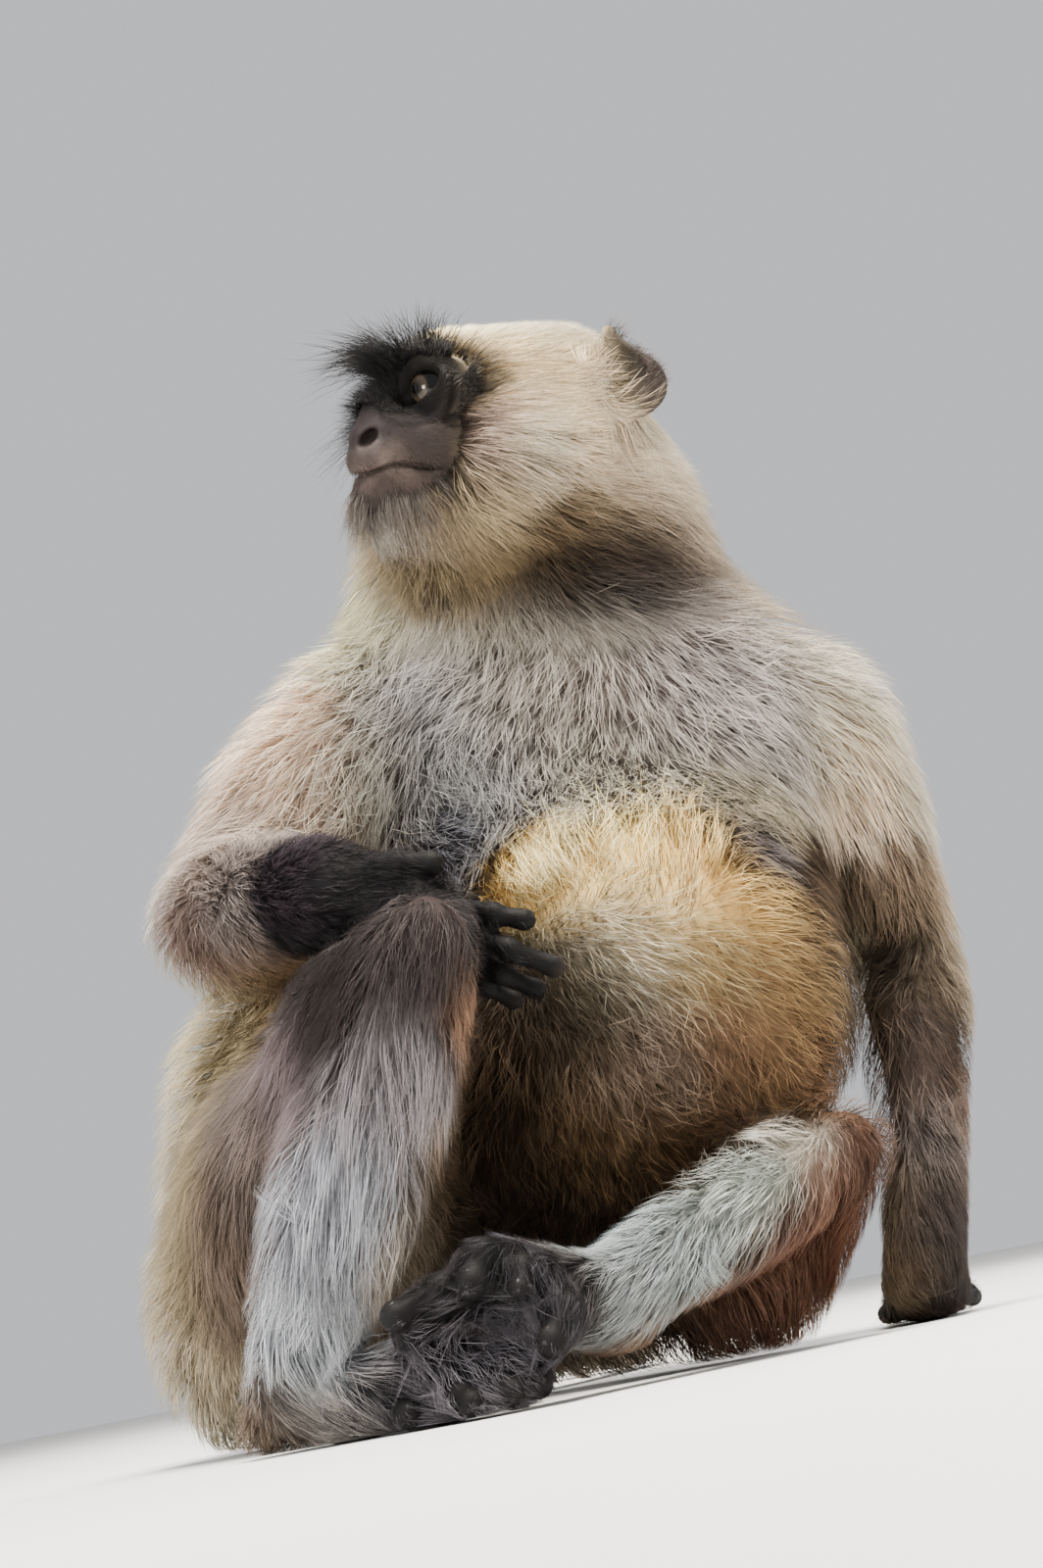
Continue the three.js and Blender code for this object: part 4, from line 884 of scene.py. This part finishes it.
def ripple(points, seed, size):
    """A smooth random value from -1 to 1 that changes over about size metres."""
    r = np.random.default_rng(seed)
    waves = r.normal(size=(6, 3)) / size
    return np.sin(points @ waves.T + r.uniform(0, 6.28, 6)).mean(1) * 1.6


def steepest(points):
    """The way out of the animal, from the solids' outline."""
    steps = np.eye(3, dtype=np.float32) * (2.5 * MM)
    g = np.stack([outline.read(points + d) - outline.read(points - d) for d in steps], 1)
    return g / (np.linalg.norm(g, axis=1, keepdims=True) + 1e-9)


area = np.cross(skin_corners[skin_faces[:, 1]] - skin_corners[skin_faces[:, 0]],
                skin_corners[skin_faces[:, 2]] - skin_corners[skin_faces[:, 0]])
size = np.linalg.norm(area, axis=1)
finer = np.ones(len(skin_faces))  # the head, hands and feet have finer hair, so more roots
finer[len(hide_pieces[0][1]):] = 3
finer[len(hide_pieces[0][1]):len(hide_pieces[0][1]) + len(hide_pieces[1][1])] = 7
chosen = luck.choice(len(skin_faces), ROOTS, p=size * finer / (size * finer).sum())
a, b = luck.random((2, ROOTS, 1))
flip = a + b > 1
a, b = np.where(flip, 1 - a, a), np.where(flip, 1 - b, b)
tri = skin_corners[skin_faces[chosen]]
roots = (tri[:, 0] + a * (tri[:, 1] - tri[:, 0]) + b * (tri[:, 2] - tri[:, 0])).astype(np.float32)
out = (area[chosen] / size[chosen, None]).astype(np.float32)
depth = -outline.read(roots)
# a root whose own way out leads back into the body lies in a fold or inside it
keep = (depth < 60 * MM) & (depth > -4 * MM) & (roots[:, 2] > FLAT_ON_FLOOR)
keep &= (outline.read(roots + out * 6 * MM) - outline.read(roots)) > -1.0 * MM
# nor does hair grow from the hide where it runs on inside the head
in_head = (roots - HEAD) @ HEAD_AXES.T
near_head = (np.abs(in_head - (0.013, -0.011, 0)) < (0.076, 0.066, 0.065)).all(1)
keep &= ~(near_head & (skull.read(in_head) < -2.5 * MM))
roots, out, depth, finer = roots[keep], out[keep], depth[keep], finer[chosen[keep]]
weight = in_parts(sway, roots, coat_places, 0.75)
strongest = weight.argmax(1)
group_names = sorted({c[0] for c in COAT})
group_of = np.array([group_names.index(c[0]) for c in COAT])[strongest]
table = lambda column: weight @ np.array([c[column] for c in COAT], np.float32)
density, length, curl, thickness = table(7), table(4) * MM, table(5) * MM, table(6) * MM
lay = weight @ np.array([np.array(c[3]) / np.linalg.norm(c[3]) for c in COAT], np.float32)
root_hue, tip_hue = weight @ coat_root, weight @ coat_tip
bare = in_parts(bareness, roots)[:, 3]
density = density * np.clip(1.15 - bare * 1.8, 0, 1) / finer
dusk = 1 - np.clip(bare * 2.4 - 0.1, 0, 0.9)[:, None]  # the coat darkens towards bare skin
root_hue, tip_hue = root_hue * dusk, tip_hue * dusk
for seat in nail_seats:
    reach = np.linalg.norm(roots - (np.array(seat[2]) * 0.6 + np.array(seat[1]) * 0.4) * MM, axis=1)
    bald = 1 if seat[0] == "foot_right" else 4  # the right foot's toes are half hidden in their own fur
    density = density * np.clip((reach - bald * MM) / (5 * MM), 0, 1)

# group: how many long hairs and fine ones, bends in the long ones, hairs to a lock, how far they draw
# together, how much they stray, how many are dark to the tip, how far they stand off the body
# (millimetres), and the axis they are unwrapped round
NOSE_TO_NAPE = (HEAD - HEAD_AXES[0] * 0.07, HEAD + HEAD_AXES[0] * 0.07)
EAR_TO_EAR = (HEAD + HEAD_AXES[2] * -0.07, HEAD + HEAD_AXES[2] * 0.07)
GROUPS = {
    "crown": (6200, 9500, 2, 14, 0.4, 0.14, 0.3, 0.4, *EAR_TO_EAR),
    "cheek": (9500, 14000, 2, 12, 0.42, 0.15, 0.3, 0.5, *NOSE_TO_NAPE),
    "beard": (7000, 8000, 2, 10, 0.42, 0.22, 0.36, 0.8, *NOSE_TO_NAPE),
    "neck": (7000, 7500, 2, 14, 0.42, 0.22, 0.3, 0.5, at(114, -20, 300), at(118, -42, 400)),
    "chest": (8500, 12000, 2, 9, 0.45, 0.3, 0.44, 0.8, at(104, -18, 200), at(104, -18, 360)),
    "back": (4500, 3500, 2, 12, 0.45, 0.13, 0.15, 0.3, at(60, 0, 0), at(104, 0, 360)),
    "belly": (6800, 11500, 2, 9, 0.4, 0.28, 0.24, 0.8, at(106, -60, 0), at(106, -60, 300)),
    "rump": (3000, 3000, 2, 12, 0.4, 0.13, 0.15, 0.3, at(-60, 0, 0), at(-60, 0, 250)),
    "arm_right": (6200, 9000, 2, 12, 0.4, 0.2, 0.26, 0.5, at(8, -32, 316), at(-76, -60, 220)),
    "arm_left": (6000, 8500, 2, 12, 0.4, 0.2, 0.3, 0.5, at(212, -20, 300), at(225, -20, 20)),
    "leg_right": (10000, 14000, 2, 14, 0.45, 0.1, 0.26, 0.4, at(20, -200, 200), at(-60, -180, 0)),
    "leg_left": (6500, 9500, 2, 14, 0.45, 0.07, 0.22, 0.3, at(180, -100, 80), at(60, -203, 36)),
    "hands": (3200, 3500, 2, 12, 0.45, 0.18, 0.3, 1.5, at(-40, -160, 220), at(210, 40, 20)),
    "feet": (6000, 7500, 2, 34, 0.74, 0.1, 0.52, 2.4, at(-60, -190, 20), at(90, -220, 40)),
    "tail": (2600, 2600, 2, 12, 0.4, 0.06, 0.15, 0.1, at(-100, 210, 0), at(70, 210, 60)),
}
fur, shader, tree = new_material("fur", Roughness=0.55, Specular_IOR_Level=0.18)
place, fleck = mottled_hue(tree, shader, 420.0, 3.0, 0.72, 1.28)
tree.links.new(bumped(tree, fleck, 0.15, 0.0003), shader.inputs["Normal"])


def hairs(name, line, width, root_hue, tip_hue, axis, slot):
    """Closed three-sided hairs along their middle lines, as one piece with its colours and its unwrap."""
    n, rings = line.shape[0], line.shape[1] - 1
    step = np.gradient(line, axis=1)
    step /= np.linalg.norm(step, axis=2, keepdims=True) + 1e-9
    side = np.cross(step, steepest(line[:, 0])[:, None, :])
    side /= np.linalg.norm(side, axis=2, keepdims=True) + 1e-9
    rise = np.cross(side, step)
    angle = np.array([0, 1, 2]) * 2 * math.pi / 3 + math.pi / 2
    taper = (1 - 0.55 * (np.arange(rings) / rings) ** 1.5)[None, :, None, None] * 0.5
    shape = side[:, :rings, None] * np.cos(angle)[:, None]
    shape = shape + rise[:, :rings, None] * np.sin(angle)[:, None] * 0.7
    corners = line[:, :rings, None] + shape * taper * width[:, None, None, None]
    corners = np.concatenate([corners.reshape(n, -1, 3), line[:, -1:]], 1)
    one = [(0, 2, 1)]
    patch = [((0, 0), (2, 0), (1, 0))]
    for k in range(rings):
        for j in range(3):
            m = (j + 1) % 3
            if k < rings - 1:
                a, b, c, d = 3 * k + j, 3 * k + m, 3 * k + 3 + m, 3 * k + 3 + j
                one += [(a, b, c), (a, c, d)]
                patch += [((j, k), (j + 1, k), (j + 1, k + 1)), ((j, k), (j + 1, k + 1), (j, k + 1))]
            else:
                one.append((3 * k + j, 3 * k + m, 3 * rings))
                patch.append(((j, k), (j + 1, k), (j + 0.5, k + 1)))
    one = np.array(one)
    faces = (one[None] + (np.arange(n) * (3 * rings + 1))[:, None, None]).reshape(-1, 3)
    share = np.concatenate([np.repeat(np.arange(rings) / rings, 3), [1]])[None, :, None] ** 0.8
    # each hair blends from its root colour to its tip colour and is painted darker towards the root, painted
    # shade deep in the coat
    hues = (root_hue[:, None] * (1 - share) + tip_hue[:, None] * share) * (0.6 + 0.4 * share)
    piece = mesh_of(name, corners.reshape(-1, 3), faces, hues.reshape(-1, 3))
    low, high = np.array(axis[0], float), np.array(axis[1], float)
    reach = np.linalg.norm(high - low)
    up = (high - low) / reach
    ref = np.cross(up, [0.3, 0.9, 0.2])
    ref /= np.linalg.norm(ref)
    q = line[:, 0] - low
    turn = np.arctan2(q @ np.cross(up, ref), q @ ref) / (2 * math.pi) + 0.5
    height = q @ up
    height = (height - height.min()) / (np.ptp(height) + 1e-9)
    at_root = np.stack([turn, height], 1) * 0.99 + 0.003
    spread = np.array(patch, float).reshape(-1, 2) * np.array([0.001, 0.003 / rings])
    uv = piece.data.uv_layers.new(name="OFBake")
    uv.data.foreach_set("uv", (at_root[:, None] + spread[None]).astype(np.float32).ravel())
    piece.data.materials.append(fur)
    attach(piece, "root")
    return piece


def loose(points):
    """How far the hair hangs free of the outline, which it does from the flank in front of the elbow."""
    away = np.linalg.norm((points - at(203, -45, 130)) / np.array([1.0, 1.5, 2.2], np.float32), axis=1)
    return 12 * MM * np.exp(-((away / (15 * MM)) ** 2))


def combed(roots, out, lay, length, depth, bends, curl, stray, stand):
    """The middle lines of hairs that follow the lie of the coat from the skin up to the outline."""
    n = len(roots)
    lay = lay + (0.12 + stray) * np.stack([ripple(roots, 11 + k, 0.016) for k in range(3)], 1)
    lay = lay + luck.normal(size=(n, 3)) * stray
    lay = lay - out * (lay * out).sum(1, keepdims=True)
    lay /= np.linalg.norm(lay, axis=1, keepdims=True) + 1e-9
    side = np.cross(out, lay)
    line = np.empty((n, bends + 1, 3), np.float32)
    line[:, 0] = roots - out * 0.4 * MM
    wave = luck.uniform(0, 6.28, (n, 1))
    end = luck.uniform(0.94, 1.17, n)
    for k in range(1, bends + 1):
        s = k / bends
        reach = s * length * np.sqrt(np.clip(1 - (depth / np.maximum(length, 1e-4)) ** 2, 0.3, 1))
        point = roots + lay * reach[:, None] + out * (depth * s * 0.8)[:, None]
        swing = np.sin(wave + s * 7.0) * s**0.5 * curl[:, None]
        lift = np.cos(wave * 1.7 + s * 6.0) * s**0.5 * curl[:, None]
        point = point + side * swing
        goal = -depth * (1 - end * s**0.55) + stand * MM * s * wave[:, 0] / 6.28 + loose(roots) * s
        for _ in range(2):
            way = steepest(point)
            point = point + way * np.clip(goal - outline.read(point), -9 * MM, 9 * MM)[:, None]
        point = point + way * lift * 0.6
        point[:, 2] = np.maximum(point[:, 2], 1.2 * MM)
        line[:, k] = point
    return line


def locks(line, per_lock, pull):
    """Draw each hair towards the hair that leads its lock."""
    n, rings = line.shape[0], line.shape[1] - 1
    leaders = luck.choice(n, max(1, n // per_lock), replace=False)
    tree = KDTree(len(leaders))
    middle = line[:, 0] * 0.5 + line[:, 1] * 0.5
    for i, k in enumerate(leaders):
        tree.insert(middle[k], i)
    tree.balance()
    lead = np.array([tree.find(p)[1] for p in middle])
    guide = line[leaders[lead]]
    for k in range(1, rings + 1):
        s = (k / rings) ** 1.3 * pull
        away = line[:, k] - guide[:, k]
        far = np.clip(1.6 - np.linalg.norm(away, axis=1, keepdims=True) / (14 * MM), 0, 1)
        line[:, k] -= away * s * far
    return line, lead


SLOTS = {
    "crown": "coat_cream", "cheek": "coat_cream", "beard": "coat_gold", "neck": "coat_dusk",
    "chest": "coat_grey", "back": "coat_grey", "belly": "coat_gold", "rump": "coat_gold",
    "arm_right": "coat_grey", "arm_left": "coat_grey", "leg_right": "coat_silver",
    "leg_left": "coat_silver", "hands": "coat_dusk", "feet": "coat_dusk", "tail": "coat_grey",
}
SPARE = 1.12  # more hairs are combed than are kept, as some are thrown out
# the two layers of the coat: the bends in a hair (None where the group says), length and thickness
LAYERS = {"coat_": (None, 1.0, 0.85), "fine_": (1, 0.8, 0.5)}
for name, (count, fine, bends, per_lock, pull, stray, dark, stand, *axis) in GROUPS.items():
    mine = np.flatnonzero((group_of == group_names.index(name)) & (density > 0.02))
    chance = -np.log(luck.random(len(mine))) / density[mine]
    mine = mine[np.argsort(chance)[:int((count + fine) * SPARE)]]
    long_ones = int(count * SPARE)
    for kind, (turns, scale, thin) in LAYERS.items():
        turns = turns or bends
        some, most = (mine[:long_ones], count) if kind == "coat_" else (mine[long_ones:], fine)
        spread = luck.uniform(0.7, 1.12, len(some)).astype(np.float32) * scale
        line = combed(
            roots[some], out[some], lay[some], length[some] * spread, np.maximum(depth[some], 1.0 * MM),
            turns, curl[some], stray, stand)
        # hairs thrown out of their run by a fold in the outline are left out
        runs = np.linalg.norm(np.diff(line, axis=1), axis=2)
        farthest = (5 + stand) * MM + loose(roots[some])
        sound = (runs.max(1) * turns < 1.7 * length[some] + 3 * MM) & (outline.read(line[:, -1]) < farthest)
        some, line = some[sound][:most], line[sound][:most]
        line, lead = locks(line, per_lock, pull)
        shade = 1 + 0.26 * luck.normal(size=len(some))
        shade = (shade + (0.13 + 0.04 * stand) * luck.normal(size=lead.max() + 1)[lead])[:, None]
        pale = np.clip(luck.normal(0.55, 0.3, len(some)), 0, 1)[:, None]
        pale[luck.random(len(some)) < dark] *= 0.15
        shade = np.clip(shade, 0.35, 1.7)
        tips = (tip_hue[some] * (0.35 + 0.65 * pale) + root_hue[some] * (0.65 - 0.65 * pale)) * shade
        width = thickness[some] * thin * luck.uniform(0.7, 1.1, len(some))
        hairs(kind + name, line, width, root_hue[some] * shade, tips, axis, SLOTS[name])

# ---- brows, whiskers and face hair -------------------------------------------------------------
# Stiff black hairs that stand out from the brow in a fan, a dense short black coat behind them that also
# fills the sockets of the eyes as painted shade, and the very short dark hair of the muzzle, lips and ears.

local = (roots - HEAD) @ HEAD_AXES.T / MM
# place in the head's frame, reach, the way the hairs point, and their length in millimetres
BROWS = [
    ((60, 29, 0), 6, (0.9, 0.5, 0), 32), ((56, 30, 10), 6, (0.55, 0.9, 0.1), 30),
    ((50, 30, 20), 6, (0.1, 1.0, 0.1), 26), ((42, 26, 29), 6, (-0.5, 0.85, 0.25), 20),
    ((55, 30, -10), 7, (0.9, 0.45, -0.25), 34), ((50, 28, -20), 7, (0.9, 0.2, -0.4), 34),
    ((46, 20, -30), 7, (0.9, -0.15, -0.4), 40), ((46, 8, -31), 6, (0.9, -0.35, -0.35), 36),
    ((47, 14, -31), 7, (0.92, -0.28, -0.35), 42),
]
# the short black coat: real brow hair, also spread over the sockets as painted shade
SHADE = [
    ((61, 27, 2), 8, (0.85, 0.5, 0), 7), ((56, 28, 12), 7, (0.55, 0.9, 0.1), 7.5),
    ((50, 28, 22), 7, (0.1, 1.0, 0.2), 7), ((42, 25, 30), 6, (-0.6, 0.8, 0.3), 7),
    ((42, 32, 27), 6, (-0.4, 0.9, 0.3), 7), ((60, 17, -12), 6, (0.95, 0.0, -0.35), 17),
    ((56, 8, -20), 6, (0.95, -0.15, -0.3), 16),
    ((40, 18, 34), 5, (-0.9, 0.3, 0.4), 6), ((44, 6, 31), 5, (-0.9, -0.1, 0.4), 4),
    ((66, 17, 3), 6, (0.6, 0.8, 0.1), 3), ((60, 12, 8), 6, (0.5, 0.8, -0.3), 3),
    ((60, 27, -10), 8, (0.9, 0.35, -0.2), 13), ((54, 27, -20), 8, (0.95, 0.05, -0.3), 20),
    ((48, 18, -30), 8, (0.95, -0.1, -0.3), 26), ((48, 8, -29), 7, (0.95, -0.1, -0.25), 24),
    ((63, 20, -5), 6, (0.95, 0.25, -0.3), 15), ((62, 12, -8), 5, (0.95, 0.0, -0.35), 15),
    ((58, 14, -16), 6, (0.95, 0.0, -0.3), 20), ((56, 22, -15), 7, (0.95, 0.15, -0.3), 20),
    ((54, 21, 25), 4, (0.5, 0.8, 0.2), 3), ((55, 8, 12), 4, (0.4, -0.6, 0.3), 2.5),
]
FACE_HAIR = [
    ((75, -17, 5), 6, (-0.3, -1, 0.3), 3), ((62, -15, 17), 7, (-0.6, -0.9, 0.3), 3.4),
    ((50, -14, 25), 6, (-0.8, -0.6, 0.3), 5), ((60, -3, 16), 8, (-0.8, -0.4, 0.4), 2.4),
    ((50, 0, 27), 6, (-0.9, -0.2, 0.5), 4), ((42, -4, 31), 5, (-0.9, 0, 0.5), 6),
    ((40, -16, 30), 5, (-0.9, -0.3, 0.4), 7), ((74, -27, 5), 5, (0.2, -1, 0.2), 4),
    ((64, -26, 17), 6, (-0.1, -1, 0.4), 5), ((-33, 45, 50), 7, (-0.5, 0.8, 0), 11),
    ((-42, 28, 60), 9, (-0.9, 0.3, 0), 5),
]
LIP_HAIR = [
    ((77, -38, 0), 4.5, (0.2, -1, 0.0), 15),
    ((76, -32, 3), 4.5, (0.3, -1, 0.1), 15), ((66, -32, 13), 4.5, (0.05, -1, 0.3), 16),
    ((57, -31, 19), 4.5, (-0.35, -1, 0.4), 16), ((47, -27, 24), 4.5, (-0.7, -0.7, 0.35), 14),
]
EAR_HAIR = [
    ((-19, 22, 38), 6, (-1, 0.0, 0.45), 12), ((-18, 6, 38), 7, (-1, -0.1, 0.5), 20),
]
# name: its rows, whether both sides alike, how many, how far they rise, thickness, bends and two colours
for name, rows, mirrored, count, rise, thick, bends, hue_root, hue_tip in [
    ("brow_hairs", BROWS, False, 900, 0.35, 0.32, 3, "040303", "0c0908"),
    ("brow_coat", SHADE, False, 11500, 0.3, 0.3, 1, "040303", "0e0b0a"),
    ("face_hair", FACE_HAIR, True, 7500, 0.2, 0.16, 1, "1d1816", "6a5d55"),
    ("lip_hair", LIP_HAIR, True, 1500, 0.2, 0.27, 2, "0b0908", "7d736a"),
    ("ear_hair", EAR_HAIR, True, 300, 0.1, 0.24, 2, "a89b80", "efe6d0"),
]:
    spots = local.copy()
    if mirrored:
        spots[:, 2] = np.abs(spots[:, 2])
    centres = np.array([r[0] for r in rows], np.float32)
    span = np.array([r[1] for r in rows], np.float32)
    nearness = np.exp(-0.5 * ((spots[:, None] - centres[None]) ** 2).sum(-1) / span**2)
    chance = nearness.max(1) ** 2 * (nearness.max(1) > 0.25)
    eyes = np.linalg.norm(local - EYE * np.where(local[:, 2:] < 0, (1, 1, -1), 1), axis=1)
    chance *= eyes > 16.5  # the lids are bare
    mine = np.flatnonzero(chance > 0)
    mine = mine[np.argsort(-np.log(luck.random(len(mine))) / chance[mine])[:count]]
    share = nearness[mine] / nearness[mine].sum(1, keepdims=True)
    way = share @ np.array([r[2] for r in rows])
    if mirrored:
        way[:, 2] *= np.sign(local[mine, 2])
    way = way @ HEAD_AXES + luck.normal(size=(len(mine), 3)) * 0.16
    way /= np.linalg.norm(way, axis=1, keepdims=True)
    away = np.clip((way * out[mine]).sum(1, keepdims=True), -1, 1)
    way = way + out[mine] * np.clip(rise - away, 0, 1)
    way /= np.linalg.norm(way, axis=1, keepdims=True)
    long = (share @ np.array([r[3] for r in rows]) * luck.uniform(0.5, 1.15, len(mine)) * MM)[:, None]
    fall = np.array([0, 0, -0.3]) + luck.normal(size=(len(mine), 3)) * 0.12
    steps = (np.arange(bends) + 1) / bends
    line = [roots[mine] + (way * s + fall * s * s * (bends > 1)) * long for s in steps]
    line = np.stack([roots[mine] - out[mine] * 0.3 * MM] + line, 1).astype(np.float32)
    shade = np.clip(1 + 0.3 * luck.normal(size=(len(mine), 1)), 0.4, 1.7)
    width = thick * MM * luck.uniform(0.7, 1.1, len(mine))
    hues = colour(hue_root) * shade, colour(hue_tip) * shade
    hairs(name, line, width, *hues, NOSE_TO_NAPE, "coat_dusk")

# ---- floor, light and camera -------------------------------------------------------------------
# A plain pale floor and backdrop, broad soft light from above and in front with a weaker one at each
# side, and the camera low in front of the animal.

floor = bpy.data.meshes.new("floor")
floor.from_pydata([(-6, -6, 0), (6, -6, 0), (6, 6, 0), (-6, 6, 0)], [], [(0, 1, 2, 3)])
floor = bpy.data.objects.new("floor", floor)
bpy.context.scene.collection.objects.link(floor)
paint, shader, tree = new_material("pale_floor", Roughness=0.6)
place = node(tree, "ShaderNodeTexCoord").outputs["Object"]
mottle = node(tree, "ShaderNodeTexNoise", [("Vector", place)], Scale=3.0, Detail=4.0)
ramp = node(tree, "ShaderNodeValToRGB", [("Fac", mottle.outputs["Fac"])])
ramp.color_ramp.elements[0].color = (0.66, 0.65, 0.63, 1)
ramp.color_ramp.elements[1].color = (0.74, 0.73, 0.71, 1)
tree.links.new(ramp.outputs["Color"], shader.inputs["Base Color"])
floor.data.materials.append(paint)

world = bpy.data.worlds.new("studio")
bpy.context.scene.world = world
world.use_nodes = True
world.node_tree.nodes["Background"].inputs["Color"].default_value = (0.86, 0.87, 0.9, 1)
world.node_tree.nodes["Background"].inputs["Strength"].default_value = 0.8
for name, place, size, power, tint in [
    ("overhead", (0.25, -0.55, 2.1), 0.9, 232, (1.0, 0.935, 0.85)),
    ("front", (-1.4, -1.7, 0.6), 0.7, 60, (0.98, 0.985, 1.0)),
    ("rim", (0.9, 1.3, 1.6), 1.0, 60, (1.0, 0.97, 0.93)),
    ("side", (1.8, -0.9, 0.9), 1.0, 18, (1.0, 0.98, 0.95)),
]:
    lamp = bpy.data.lights.new(name, "AREA")
    lamp.size, lamp.energy, lamp.color = size, power, tint
    lamp = bpy.data.objects.new(name, lamp)
    lamp.location = place
    lamp.rotation_euler = (Vector((0.06, -0.05, 0.25)) - Vector(place)).to_track_quat("-Z", "Y").to_euler()
    bpy.context.scene.collection.objects.link(lamp)

view = bpy.data.cameras.new("view")
view.lens, view.sensor_width, view.clip_start = 84.375, 36, 0.05
camera = bpy.data.objects.new("view", view)
camera.matrix_world = Matrix((
    (0.98163, 0.19083, 0.0, 0.072),
    (0.02738, -0.14085, -0.98965, -1.690),
    (-0.18885, 0.97147, -0.14349, 0.032),
    (0, 0, 0, 1),
))
bpy.context.scene.collection.objects.link(camera)
bpy.context.scene.camera = camera
